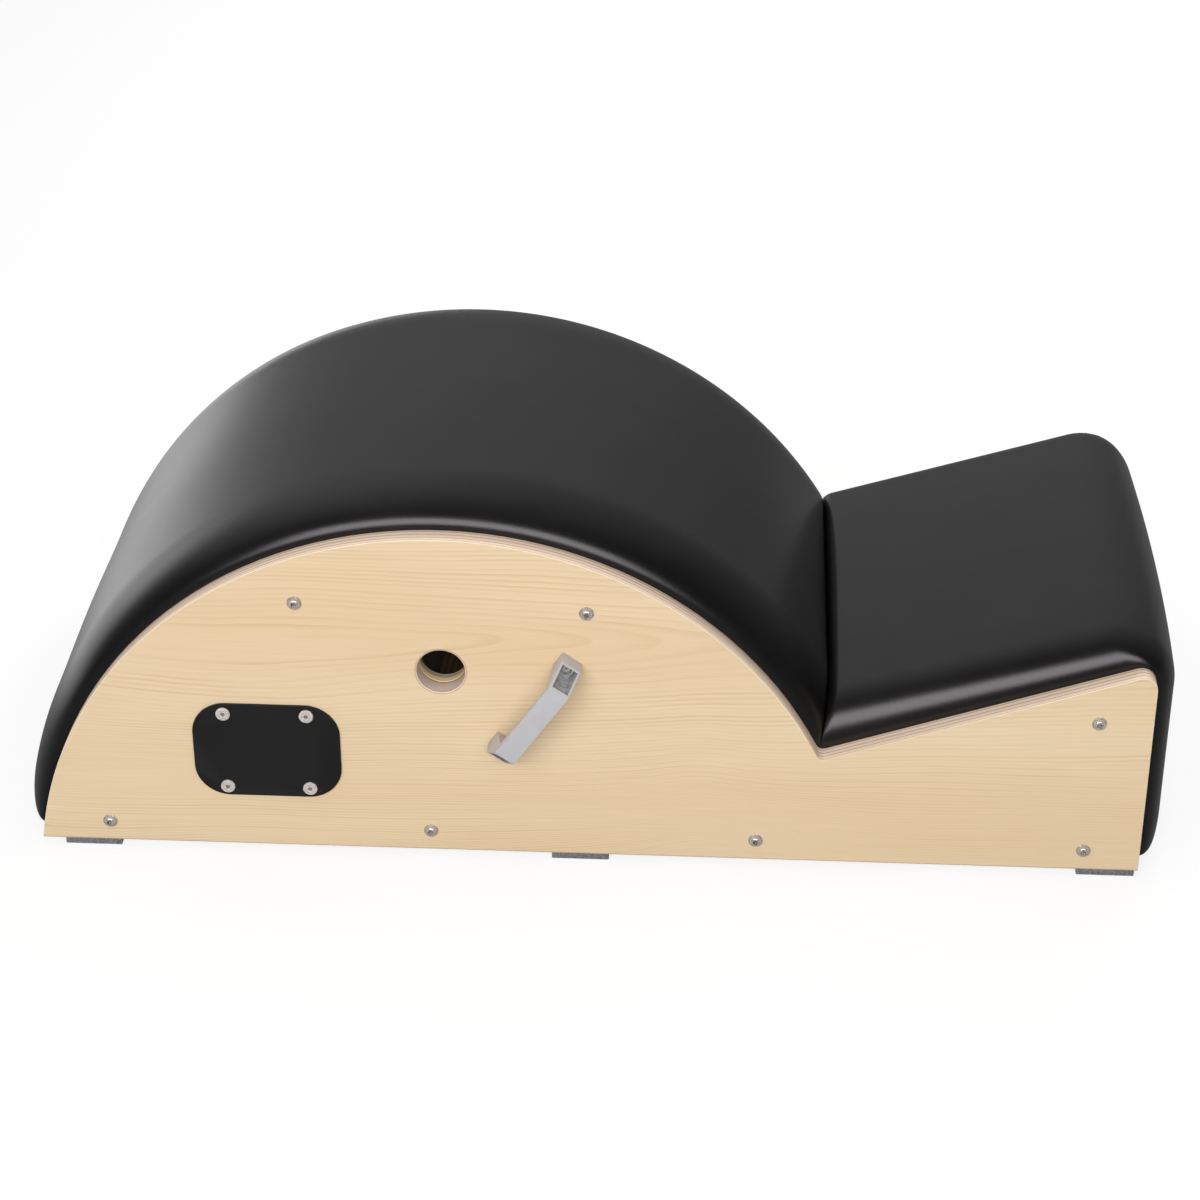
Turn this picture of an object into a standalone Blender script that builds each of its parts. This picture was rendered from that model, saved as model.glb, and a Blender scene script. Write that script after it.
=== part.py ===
# Spine corrector: a barrel pad and a seat pad between two plywood side panels, which seven rails hold apart.
# Metres. +X points to the seat end, -Y to the face that carries the black plate, +Z up.
# The origin lies on the floor, under the middle of the whole outline.

import math

import bmesh
import bpy
from mathutils import Matrix, Vector

# Fits
FIT = 0.0003  # between pieces that touch
FOAM_FIT = 0.0010  # between a pad's foam and the cover round it

# Body
BODY_WIDTH = 0.456  # over the outer faces of the side panels
PANEL_THICKNESS = 0.018

# Side panel outline. x runs from the barrel's centre line, z from the panel's lower edge
BARREL_RADIUS = 0.360
BARREL_DROP = 0.050  # from the panel's lower edge down to the barrel's centre
VALLEY_LEAN = math.radians(64.71)  # from straight above the centre to where the arc meets the seat line
SEAT_SLOPE = math.radians(19.0)
SEAT_END_X = 0.606
SEAT_CORNER_RADIUS = 0.012
VALLEY_FILLET = 0.006
BARREL_ARC_STEPS = 56
CORNER_STEPS = 5

# Rails and decks
RAIL_SIZE = 0.034  # square section
RAIL_CHAMFER = 0.002
DECK_THICKNESS = 0.009
DECK_END_FIT = 0.0010  # between a deck's ends and the cover that wraps them
DECK_FOAM_GAP = 0.0005

# Panel bolts, one through each panel into each end of each rail
BOTTOM_BOLT_COUNT = 4
BOTTOM_BOLT_HEIGHT = 0.020
BOTTOM_BOLT_LEFT_MARGIN = 0.0617
BOTTOM_BOLT_RIGHT_MARGIN = 0.0489
BARREL_BOLT_DEPTH = 0.040  # under the barrel's arc
BARREL_BOLT_LEAN_LEFT = math.radians(-22.0)  # from straight above the barrel's centre
BARREL_BOLT_LEAN_RIGHT = math.radians(23.2)
SEAT_BOLT_DEPTH = 0.0325  # under the seat line
SEAT_BOLT_MARGIN = 0.046  # from the panel's right edge
BOLT_RADIUS = 0.003
BOLT_REACH = 0.012  # past the panel's inner face
BOLT_FLANGE_RADIUS = 0.0062
BOLT_FLANGE_THICKNESS = 0.0012
BOLT_DOME_RADIUS = 0.0050
BOLT_DOME_HEIGHT = 0.0030
BOLT_SOCKET_FLATS = 0.0040
BOLT_SOCKET_DEPTH = 0.0022
INSERT_RADIUS = 0.005
INSERT_LENGTH = 0.015
ROUND_STEPS = 12  # sides of a bolt or a bore

# Pads
CREASE_ANGLE = math.radians(80.0)  # of the plane between the pads, from the horizontal
COVER_THICKNESS = 0.0012
PAD_CROWN = 0.001  # extra height along the middle
PAD_END_HEIGHT = 0.003  # from the panel's lower edge up to the pads' lower ends
PAD_END_ROUND = 0.032  # length over which a lower end curves in
PAD_END_LEAST = 0.80  # share of the height left at a lower end
BARREL_PAD_HEIGHT = 0.0289
BARREL_PAD_ROLL = 0.0635  # width of the rounded side
BARREL_FLANK_HEIGHT = 0.0245
FLANK_FROM = math.radians(109.0)
FLANK_TO = math.radians(156.0)
BARREL_CREASE_ROUND = 0.006
SEAT_PAD_CREASE_HEIGHT = 0.046
SEAT_PAD_END_HEIGHT = 0.0345
SEAT_PAD_SIDE = 0.029  # past the panels' right edge
SEAT_PAD_ROLL = 0.036
SEAT_PAD_SHOULDER = 0.026  # height that the rounded side reaches, the rest is crown
SEAT_PAD_CORNER_RADIUS = 0.074
SEAT_CREASE_ROUND = 0.009
BARREL_PAD_STEPS = 26
SEAT_PAD_STEPS = 6
SEAT_PAD_CORNER_STEPS = 6
SEAT_PAD_SIDE_STEPS = 3
ROLL_ANGLES = tuple(math.radians(degrees) for degrees in (0, 13, 29, 48, 68, 90))
CREASE_SHARES = (0.0, 0.12, 0.45)
END_SHARES = (0.72, 0.45, 0.22, 0.07, 0.0)
SEAT_CROWN_SHARES = (0.67, 0.34)

# Grip hole
GRIP_HOLE_X = 0.002
GRIP_HOLE_HEIGHT = 0.183
GRIP_HOLE_RADIUS = 0.0208
GRIP_HOLE_STEPS = 40

# Bow handle
HANDLE_X = 0.0816
HANDLE_HEIGHT = 0.154
HANDLE_ANGLE = math.radians(55.0)
HANDLE_LENGTH = 0.113
HANDLE_WIDTH = 0.019
HANDLE_STANDOFF = 0.036
HANDLE_BAR_THICKNESS = 0.006
HANDLE_FLAT_LENGTH = 0.082
HANDLE_FOOT_LENGTH = 0.014
HANDLE_SHOULDER = 0.015  # height of the straight end of a foot
HANDLE_EDGE = 0.0008
HANDLE_WALL = 0.002
HANDLE_RECESS_DEPTH = 0.004
HANDLE_HOLE_END = 0.0085  # from a foot's outer end to its screw
HANDLE_HOLE_SPACING = HANDLE_LENGTH - 2 * HANDLE_HOLE_END
HANDLE_FLOOR = 0.004
HANDLE_POCKET_RADIUS = 0.005
HANDLE_SCREW_RADIUS = 0.002
HANDLE_SCREW_REACH = 0.012
HANDLE_SCREW_HEAD_RADIUS = 0.0038
HANDLE_SCREW_HEAD_HEIGHT = 0.0024
HANDLE_SCREW_SOCKET_FLATS = 0.0025

# Blank plate
PLATE_X = -0.151
PLATE_HEIGHT = 0.099
PLATE_SIZE = (0.128, 0.093)
PLATE_THICKNESS = 0.002
PLATE_CORNER_RADIUS = 0.030
PLATE_CORNER_STEPS = 7
PLATE_SCREW_SPACING = (0.072, 0.074)
PLATE_SCREW_RADIUS = 0.0025
PLATE_SCREW_REACH = 0.012
PLATE_SCREW_HEAD_RADIUS = 0.0062
PLATE_SCREW_HEAD_HEIGHT = 0.0016
PLATE_SCREW_SOCKET_FLATS = 0.0045
PLATE_SCREW_SOCKET_DEPTH = 0.0010

# Foot pads
FOOT_THICKNESS = 0.0060
FOOT_LENGTH = 0.050
FOOT_WIDTH = 0.017
FOOT_LEFT_MARGIN = 0.020
FOOT_RIGHT_MARGIN = 0.003
FOOT_MIDDLE_X = 0.120

# Values that follow from the sizes above
INNER_WIDTH = BODY_WIDTH - 2 * PANEL_THICKNESS
LEFT_CORNER_X = -math.sqrt(BARREL_RADIUS**2 - BARREL_DROP**2)
BARREL_CENTRE = Vector((0.0, -BARREL_DROP))
VALLEY = BARREL_CENTRE + BARREL_RADIUS * Vector((math.sin(VALLEY_LEAN), math.cos(VALLEY_LEAN)))
SLOPE = Vector((math.cos(SEAT_SLOPE), math.sin(SEAT_SLOPE)))
SLOPE_UP = Vector((-SLOPE.y, SLOPE.x))
SEAT_CORNER = VALLEY + SLOPE * ((SEAT_END_X - VALLEY.x) / SLOPE.x)
CREASE = Vector((math.cos(CREASE_ANGLE), math.sin(CREASE_ANGLE)))
CREASE_LEFT = Vector((-CREASE.y, CREASE.x))
BARREL_BOLT_RADIUS = BARREL_RADIUS - BARREL_BOLT_DEPTH
BARREL_DECK_INNER = math.hypot(BARREL_BOLT_RADIUS + RAIL_SIZE / 2, RAIL_SIZE / 2) + FIT
BARREL_DECK_OUTER = BARREL_DECK_INNER + DECK_THICKNESS
SEAT_DECK_BOTTOM = SEAT_BOLT_DEPTH - RAIL_SIZE / 2 - FIT  # depth under the seat line
SEAT_DECK_TOP = SEAT_DECK_BOTTOM - DECK_THICKNESS
BARREL_PAD_END = math.pi - math.asin((PAD_END_HEIGHT + BARREL_DROP) / BARREL_RADIUS)
PANEL_BASE = FOOT_THICKNESS + FIT  # height of the panels' lower edge above the floor
FOAM_INSET = COVER_THICKNESS + FOAM_FIT

UPRIGHT = Matrix.Rotation(math.pi / 2, 4, "X")  # turns a flat outline into the XZ plane


# Scene and materials


def clear_scene():
    for obj in list(bpy.data.objects):
        bpy.data.objects.remove(obj, do_unlink=True)


def new_collection(name):
    collection = bpy.data.collections.new(name)
    bpy.context.scene.collection.children.link(collection)
    return collection


def new_material(name, colour, roughness, metallic=0.0):
    material = bpy.data.materials.new(name)
    material.use_nodes = True
    shader = material.node_tree.nodes["Principled BSDF"]
    shader.inputs["Base Color"].default_value = (*colour, 1.0)
    shader.inputs["Roughness"].default_value = roughness
    shader.inputs["Metallic"].default_value = metallic
    material.diffuse_color = (*colour, 1.0)
    return material


def add_part(name, mesh, material, matrix):
    obj = bpy.data.objects.new(name, mesh)
    parts.objects.link(obj)
    obj.data.materials.clear()
    obj.data.materials.append(material)
    obj.matrix_world = matrix
    return obj


def shade_round(mesh):
    mesh.shade_smooth()
    mesh.set_sharp_from_angle(angle=math.radians(35))


def mesh_of(obj):
    """The evaluated mesh of an object that is then removed, with its doubled points merged."""
    bpy.context.view_layer.update()
    graph = bpy.context.evaluated_depsgraph_get()
    mesh = bpy.data.meshes.new_from_object(obj.evaluated_get(graph))
    bpy.data.objects.remove(obj)
    bm = bmesh.new()
    bm.from_mesh(mesh)
    bmesh.ops.remove_doubles(bm, verts=bm.verts, dist=1e-6)
    bm.to_mesh(mesh)
    bm.free()
    return mesh


# Cutters


def add_cutter(name, bm, matrix):
    mesh = bpy.data.meshes.new(name)
    bm.to_mesh(mesh)
    bm.free()
    obj = bpy.data.objects.new(name, mesh)
    cutters.objects.link(obj)
    obj.matrix_world = matrix
    obj.hide_render = True
    obj.display_type = "WIRE"
    return obj


def cut(obj, cutter):
    modifier = obj.modifiers.new(cutter.name, "BOOLEAN")
    modifier.operation = "DIFFERENCE"
    modifier.solver = "EXACT"
    modifier.object = cutter


def add_drill(bm, start, end, radius, steps):
    """A cylinder from start to end."""
    run = end - start
    turn = run.to_track_quat("Z", "Y").to_matrix().to_4x4()
    bmesh.ops.create_cone(
        bm,
        cap_ends=True,
        segments=steps,
        radius1=radius,
        radius2=radius,
        depth=run.length,
        matrix=Matrix.Translation((start + end) / 2) @ turn,
    )


# Places in the panels' frame


def outward(side):
    """Direction along Y out of a side panel."""
    return -1.0 if side == "front" else 1.0


def panel_frame(y=0.0):
    return Matrix.Translation((-OUTLINE_MIDDLE, y, PANEL_BASE))


def on_barrel(radius, angle):
    return BARREL_CENTRE + radius * Vector((math.cos(angle), math.sin(angle)))


def crease_angle(radius, gap):
    """Angle about the barrel's centre where a circle meets the plane this gap to the left of the crease."""
    start = VALLEY + CREASE_LEFT * gap - BARREL_CENTRE
    along = start.dot(CREASE)
    reach = -along + math.sqrt(along**2 - start.length_squared + radius**2)
    found = start + CREASE * reach
    return math.atan2(found.y, found.x)


def crease_station(height, gap):
    """Distance along the seat line, at a height over it, to the plane this gap to the right of the crease."""
    start = -CREASE_LEFT * gap
    reach = (height - start.dot(SLOPE_UP)) / CREASE.dot(SLOPE_UP)
    return (start + CREASE * reach).dot(SLOPE)


def arc_points(centre, radius, first, last, steps):
    angles = [first + (last - first) * i / steps for i in range(steps + 1)]
    return [centre + radius * Vector((math.cos(a), math.sin(a))) for a in angles]


def seat_corner_arc(slope_point, direction, side_x, radius, steps):
    """Rounds the corner between a line that climbs to the right and the upright line at side_x."""
    corner = slope_point + direction * ((side_x - slope_point.x) / direction.x)
    slope = math.atan2(direction.y, direction.x)
    tangent = radius * math.tan((slope + math.pi / 2) / 2)
    centre = corner - direction * tangent - radius * Vector((-direction.y, direction.x))
    return arc_points(centre, radius, slope + math.pi / 2, 0.0, steps)


def valley_fillet_centre():
    """Centre of the small arc that touches the barrel and the seat line in the panels' valley."""
    start = VALLEY + SLOPE_UP * VALLEY_FILLET - BARREL_CENTRE
    along = start.dot(SLOPE)
    reach = (BARREL_RADIUS + VALLEY_FILLET) ** 2 - start.length_squared
    return BARREL_CENTRE + start + SLOPE * (math.sqrt(along**2 + reach) - along)


def rail_places():
    """Name, place in the panel and turn of each rail, which are also those of the bolts at its ends."""
    first = LEFT_CORNER_X + BOTTOM_BOLT_LEFT_MARGIN
    last = SEAT_END_X - BOTTOM_BOLT_RIGHT_MARGIN
    pitch = (last - first) / (BOTTOM_BOLT_COUNT - 1)
    places = []
    for i in range(BOTTOM_BOLT_COUNT):
        places.append((f"rail_bottom_{i + 1}", Vector((first + pitch * i, BOTTOM_BOLT_HEIGHT)), 0.0))
    for side, lean in (("left", BARREL_BOLT_LEAN_LEFT), ("right", BARREL_BOLT_LEAN_RIGHT)):
        places.append((f"rail_barrel_{side}", on_barrel(BARREL_BOLT_RADIUS, math.pi / 2 - lean), -lean))
    seat_x = SEAT_END_X - SEAT_BOLT_MARGIN
    above = VALLEY + SLOPE * ((seat_x - VALLEY.x) / SLOPE.x)
    down = SEAT_BOLT_DEPTH / SLOPE.x
    places.append(("rail_seat", above - Vector((0.0, down)), SEAT_SLOPE))
    return places


def handle_frame(side):
    """Local X along the handle, Y out of the panel, Z across the handle."""
    along = Vector((math.cos(HANDLE_ANGLE), 0.0, math.sin(HANDLE_ANGLE)))
    out = Vector((0.0, outward(side), 0.0))
    turn = Matrix((along, out, along.cross(out))).transposed().to_4x4()
    place = Matrix.Translation((HANDLE_X, 0.0, HANDLE_HEIGHT))
    return panel_frame(outward(side) * (BODY_WIDTH / 2 + FIT)) @ place @ turn


def facing_out(side, x, z, lift=0.0):
    """Local Z points out of a panel's outer face at this place."""
    turn = Matrix.Rotation(-outward(side) * math.pi / 2, 4, "X")
    return panel_frame(outward(side) * (BODY_WIDTH / 2 + lift)) @ Matrix.Translation((x, 0.0, z)) @ turn


def plate_screw_places():
    across, up = PLATE_SCREW_SPACING
    return [
        Vector((PLATE_X + i * across / 2, PLATE_HEIGHT + j * up / 2)) for j in (1, -1) for i in (-1, 1)
    ]


# Flat pieces


def extruded_outline(name, outline, thickness, material, matrix):
    """A flat piece, from an outline in its local XY plane."""
    curve = bpy.data.curves.new(name, "CURVE")
    curve.dimensions = "2D"
    curve.fill_mode = "BOTH"
    curve.extrude = thickness / 2
    spline = curve.splines.new("POLY")
    spline.points.add(len(outline) - 1)
    for point, place in zip(spline.points, outline):
        point.co = (place[0], place[1], 0.0, 1.0)
    spline.use_cyclic_u = True
    guide = bpy.data.objects.new(name + "_outline", curve)
    cutters.objects.link(guide)
    mesh = mesh_of(guide)
    mesh.name = name
    return add_part(name, mesh, material, matrix)


def panel_outline():
    fillet_centre = valley_fillet_centre()
    from_barrel = fillet_centre - BARREL_CENTRE
    touching_angle = math.atan2(from_barrel.y, from_barrel.x)
    left_angle = math.pi - math.asin(BARREL_DROP / BARREL_RADIUS)
    barrel = arc_points(BARREL_CENTRE, BARREL_RADIUS, left_angle, touching_angle, BARREL_ARC_STEPS)
    first, last = touching_angle - math.pi, SEAT_SLOPE - math.pi / 2
    fillet = arc_points(fillet_centre, VALLEY_FILLET, first, last, CORNER_STEPS)
    corner = seat_corner_arc(VALLEY, SLOPE, SEAT_END_X, SEAT_CORNER_RADIUS, CORNER_STEPS)
    return barrel + fillet[1:] + corner + [Vector((SEAT_END_X, 0.0))]


def panel_drills(side):
    """Everything that is bored through or into a side panel, from its outer face."""
    bm = bmesh.new()
    past = PANEL_THICKNESS / 2
    outer = outward(side) * (BODY_WIDTH / 2 + past)

    def drill(place, radius, depth, steps=ROUND_STEPS):
        start = Vector((place.x, outer, place.y))
        add_drill(bm, start, start - Vector((0.0, outward(side) * (past + depth), 0.0)), radius, steps)

    through = PANEL_THICKNESS + past
    for _, place, _ in rail_places():
        drill(place, BOLT_RADIUS + FIT, through)
    drill(Vector((GRIP_HOLE_X, GRIP_HOLE_HEIGHT)), GRIP_HOLE_RADIUS, through, GRIP_HOLE_STEPS)
    along = Vector((math.cos(HANDLE_ANGLE), math.sin(HANDLE_ANGLE)))
    for end in (-1, 1):
        foot = Vector((HANDLE_X, HANDLE_HEIGHT)) + along * (end * HANDLE_HOLE_SPACING / 2)
        drill(foot, HANDLE_SCREW_RADIUS + FIT, HANDLE_SCREW_REACH + FIT)
    if side == "front":
        for place in plate_screw_places():
            drill(place, PLATE_SCREW_RADIUS + FIT, PLATE_SCREW_REACH + FIT)
    return bm


def make_panel(side):
    y = outward(side) * (BODY_WIDTH - PANEL_THICKNESS) / 2
    panel = extruded_outline(
        f"side_panel_{side}", panel_outline(), PANEL_THICKNESS, wood, panel_frame(y) @ UPRIGHT
    )
    cut(panel, add_cutter(f"panel_drills_{side}", panel_drills(side), panel_frame()))


def make_blank_plate():
    wide, high = (size / 2 - PLATE_CORNER_RADIUS for size in PLATE_SIZE)
    outline = []
    for quarter, (i, j) in enumerate(((1, 1), (-1, 1), (-1, -1), (1, -1))):
        start = quarter * math.pi / 2
        centre = Vector((i * wide, j * high))
        outline += arc_points(centre, PLATE_CORNER_RADIUS, start, start + math.pi / 2, PLATE_CORNER_STEPS)
    y = -(BODY_WIDTH / 2 + FIT + PLATE_THICKNESS / 2)
    centre = Matrix.Translation((PLATE_X, 0.0, PLATE_HEIGHT))
    plate = extruded_outline(
        "blank_plate", outline, PLATE_THICKNESS, black_metal, panel_frame(y) @ centre @ UPRIGHT
    )
    bm = bmesh.new()
    for place in plate_screw_places():
        start = Vector((place.x, -PLATE_THICKNESS, place.y))
        end = Vector((place.x, PLATE_THICKNESS, place.y))
        add_drill(bm, start, end, PLATE_SCREW_RADIUS + FIT, ROUND_STEPS)
    cut(plate, add_cutter("plate_drills", bm, panel_frame(y)))


def make_barrel_deck():
    inset = COVER_THICKNESS + DECK_END_FIT
    first = crease_angle(BARREL_DECK_OUTER, FIT / 2 + inset)
    last = BARREL_PAD_END - inset / BARREL_DECK_INNER
    outer = arc_points(BARREL_CENTRE, BARREL_DECK_OUTER, first, last, BARREL_ARC_STEPS)
    inner = arc_points(BARREL_CENTRE, BARREL_DECK_INNER, last, first, BARREL_ARC_STEPS)
    extruded_outline("barrel_deck", outer + inner, DECK_WIDTH, deck_wood, panel_frame() @ UPRIGHT)


def make_seat_deck():
    inset = COVER_THICKNESS + DECK_END_FIT
    start = crease_station(-SEAT_DECK_TOP, FIT / 2 + inset)
    bottom_z = PAD_END_HEIGHT + inset
    faces = []
    for depth in (SEAT_DECK_TOP, SEAT_DECK_BOTTOM):
        first = VALLEY + SLOPE * start - SLOPE_UP * depth
        radius = max(SEAT_CORNER_RADIUS - depth, DECK_THICKNESS / 4)
        corner = seat_corner_arc(first, SLOPE, SEAT_END_X - depth, radius, CORNER_STEPS)
        faces.append([first] + corner + [Vector((SEAT_END_X - depth, bottom_z))])
    outline = faces[0] + faces[1][::-1]
    extruded_outline("seat_deck", outline, DECK_WIDTH, deck_wood, panel_frame() @ UPRIGHT)


# Rails, inserts and screws


def make_rail(name, place, turn):
    bm = bmesh.new()
    length = INNER_WIDTH - 2 * FIT
    bmesh.ops.create_cube(bm, size=1.0, matrix=Matrix.Diagonal((RAIL_SIZE, length, RAIL_SIZE, 1.0)))
    mesh = bpy.data.meshes.new(name)
    bm.to_mesh(mesh)
    bm.free()
    matrix = panel_frame() @ Matrix.Translation((place.x, 0.0, place.y)) @ Matrix.Rotation(-turn, 4, "Y")
    rail = add_part(name, mesh, rail_wood, matrix)
    bevel = rail.modifiers.new("chamfer", "BEVEL")
    bevel.width = RAIL_CHAMFER
    bevel.segments = 1
    bores = bmesh.new()
    for end in (-1, 1):
        mouth = Vector((0.0, end * length, 0.0))
        floor = Vector((0.0, end * (length / 2 - INSERT_LENGTH - FIT), 0.0))
        add_drill(bores, mouth, floor, INSERT_RADIUS + FIT, ROUND_STEPS)
    cut(rail, add_cutter(name + "_bores", bores, matrix))


def turned_mesh(name, profile, closed):
    """A turned piece, from a profile of (radius, height) that runs down its outer side."""
    bm = bmesh.new()
    points = [bm.verts.new((radius, 0.0, height)) for radius, height in profile]
    for first, second in zip(points, points[1:]):
        bm.edges.new((first, second))
    if closed:
        bm.edges.new((points[-1], points[0]))
    mesh = bpy.data.meshes.new(name)
    bm.to_mesh(mesh)
    bm.free()
    obj = bpy.data.objects.new(name, mesh)
    cutters.objects.link(obj)
    screw = obj.modifiers.new("turn", "SCREW")
    screw.axis = "Z"
    screw.steps = ROUND_STEPS
    screw.render_steps = ROUND_STEPS
    screw.use_merge_vertices = True
    screw.merge_threshold = 1e-5
    turned = mesh_of(obj)
    turned.name = name
    return turned


def screw_mesh(name, head, shank_radius, shank_length, socket_flats, socket_depth):
    """A screw whose head, a (radius, height) outline, stands over z = 0 and whose shank hangs below it."""
    point = shank_radius / 3
    profile = [(0.0, head[0][1])] + head + [(shank_radius, 0.0), (shank_radius, point - shank_length)]
    profile += [(shank_radius - point, -shank_length), (0.0, -shank_length)]
    blank = bpy.data.objects.new(name, turned_mesh(name + "_blank", profile, closed=False))
    cutters.objects.link(blank)
    top = head[0][1]
    bm = bmesh.new()
    corner_radius = socket_flats / math.sqrt(3.0)
    floor = Vector((0.0, 0.0, top - socket_depth))
    mouth = Vector((0.0, 0.0, top + socket_depth))
    add_drill(bm, floor, mouth, corner_radius, 6)
    socket = add_cutter(name + "_socket", bm, Matrix.Identity(4))
    cut(blank, socket)
    mesh = mesh_of(blank)
    bpy.data.objects.remove(socket)
    mesh.name = name
    shade_round(mesh)
    return mesh


def make_bolts_and_inserts():
    dome_top = BOLT_FLANGE_THICKNESS + BOLT_DOME_HEIGHT
    head = [
        (BOLT_DOME_RADIUS * 0.50, dome_top),
        (BOLT_DOME_RADIUS * 0.86, BOLT_FLANGE_THICKNESS + BOLT_DOME_HEIGHT * 0.68),
        (BOLT_DOME_RADIUS, BOLT_FLANGE_THICKNESS),
        (BOLT_FLANGE_RADIUS, BOLT_FLANGE_THICKNESS),
        (BOLT_FLANGE_RADIUS, 0.0),
    ]
    length = PANEL_THICKNESS + BOLT_REACH
    bolt = screw_mesh("panel_bolt", head, BOLT_RADIUS, length, BOLT_SOCKET_FLATS, BOLT_SOCKET_DEPTH)
    bore = BOLT_RADIUS + FIT
    sleeve = [(INSERT_RADIUS, 0.0), (INSERT_RADIUS, -INSERT_LENGTH), (bore, -INSERT_LENGTH), (bore, 0.0)]
    insert = turned_mesh("rail_insert", sleeve, closed=True)
    shade_round(insert)
    for side in ("front", "rear"):
        for i, (_, place, _) in enumerate(rail_places()):
            add_part(f"panel_bolt_{side}_{i + 1}", bolt, steel, facing_out(side, place.x, place.y, FIT))
            mouth = -PANEL_THICKNESS - FIT
            add_part(f"rail_insert_{side}_{i + 1}", insert, brass, facing_out(side, place.x, place.y, mouth))


def make_plate_screws():
    edge = PLATE_SCREW_HEAD_HEIGHT / 4
    head = [
        (PLATE_SCREW_HEAD_RADIUS - edge, PLATE_SCREW_HEAD_HEIGHT),
        (PLATE_SCREW_HEAD_RADIUS, PLATE_SCREW_HEAD_HEIGHT - edge),
        (PLATE_SCREW_HEAD_RADIUS, 0.0),
    ]
    lift = 2 * FIT + PLATE_THICKNESS
    mesh = screw_mesh(
        "plate_screw", head, PLATE_SCREW_RADIUS, lift + PLATE_SCREW_REACH, PLATE_SCREW_SOCKET_FLATS,
        PLATE_SCREW_SOCKET_DEPTH,
    )
    for i, place in enumerate(plate_screw_places()):
        add_part(f"plate_screw_{i + 1}", mesh, steel, facing_out("front", place.x, place.y, lift))


# Handles


def make_handles():
    half = HANDLE_LENGTH / 2
    flat = HANDLE_FLAT_LENGTH / 2
    foot = half - HANDLE_FOOT_LENGTH
    under = HANDLE_STANDOFF - HANDLE_BAR_THICKNESS
    slope = (HANDLE_STANDOFF - HANDLE_SHOULDER) / (half - flat)
    inner = foot - under / slope / 2
    right = [(foot, 0.0), (half, 0.0), (half, HANDLE_SHOULDER), (flat, HANDLE_STANDOFF)]
    outline = right + [(-x, y) for x, y in reversed(right)] + [(-inner, under), (inner, under)]
    for side in ("front", "rear"):
        matrix = handle_frame(side)
        handle = extruded_outline(f"handle_{side}", outline, HANDLE_WIDTH, cast_metal, matrix)
        bevel = handle.modifiers.new("rounded edges", "BEVEL")
        bevel.width = HANDLE_EDGE
        bevel.segments = 1
        cut(handle, add_cutter(f"handle_{side}_recesses", handle_recesses(), matrix))
        pockets = handle_drills(HANDLE_POCKET_RADIUS, HANDLE_FLOOR, HANDLE_STANDOFF)
        cut(handle, add_cutter(f"handle_{side}_pockets", pockets, matrix))
        holes = handle_drills(HANDLE_SCREW_RADIUS + FIT, -HANDLE_FLOOR, 2 * HANDLE_FLOOR)
        cut(handle, add_cutter(f"handle_{side}_holes", holes, matrix))


def handle_recesses():
    """The shallow trough in the sloping face over each foot."""
    fold = Vector((HANDLE_FLAT_LENGTH / 2, HANDLE_STANDOFF))
    shoulder = Vector((HANDLE_LENGTH / 2, HANDLE_SHOULDER))
    run = (shoulder - fold).normalized()
    out = Vector((-run.y, run.x))
    length = (shoulder - fold).length - 2 * HANDLE_WALL
    middle = (fold + shoulder) / 2
    bm = bmesh.new()
    for end in (-1, 1):
        axes = (Vector((end * run.x, run.y, 0.0)), Vector((end * out.x, out.y, 0.0)), Vector((0.0, 0.0, end)))
        turn = Matrix(axes).transposed().to_4x4()
        size = Matrix.Diagonal((length, 2 * HANDLE_RECESS_DEPTH, HANDLE_WIDTH - 2 * HANDLE_WALL, 1.0))
        place = Matrix.Translation((end * middle.x, middle.y, 0.0))
        bmesh.ops.create_cube(bm, size=1.0, matrix=place @ turn @ size)
    return bm


def handle_drills(radius, start, end):
    """One cylinder over each screw place, between these heights."""
    bm = bmesh.new()
    for x in (-HANDLE_HOLE_SPACING / 2, HANDLE_HOLE_SPACING / 2):
        add_drill(bm, Vector((x, start, 0.0)), Vector((x, end, 0.0)), radius, ROUND_STEPS)
    return bm


def make_handle_screws():
    head = [
        (HANDLE_SCREW_HEAD_RADIUS * 0.7, HANDLE_SCREW_HEAD_HEIGHT),
        (HANDLE_SCREW_HEAD_RADIUS, HANDLE_SCREW_HEAD_HEIGHT * 0.45),
        (HANDLE_SCREW_HEAD_RADIUS, 0.0),
    ]
    lift = HANDLE_FLOOR + 2 * FIT
    mesh = screw_mesh(
        "handle_screw", head, HANDLE_SCREW_RADIUS, lift + HANDLE_SCREW_REACH, HANDLE_SCREW_SOCKET_FLATS,
        HANDLE_SCREW_HEAD_HEIGHT / 2,
    )
    along = Vector((math.cos(HANDLE_ANGLE), math.sin(HANDLE_ANGLE)))
    for side in ("front", "rear"):
        for end, word in ((1, "upper"), (-1, "lower")):
            foot = Vector((HANDLE_X, HANDLE_HEIGHT)) + along * (end * HANDLE_HOLE_SPACING / 2)
            add_part(f"handle_screw_{side}_{word}", mesh, steel, facing_out(side, foot.x, foot.y, lift))


# Foot pads


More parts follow.
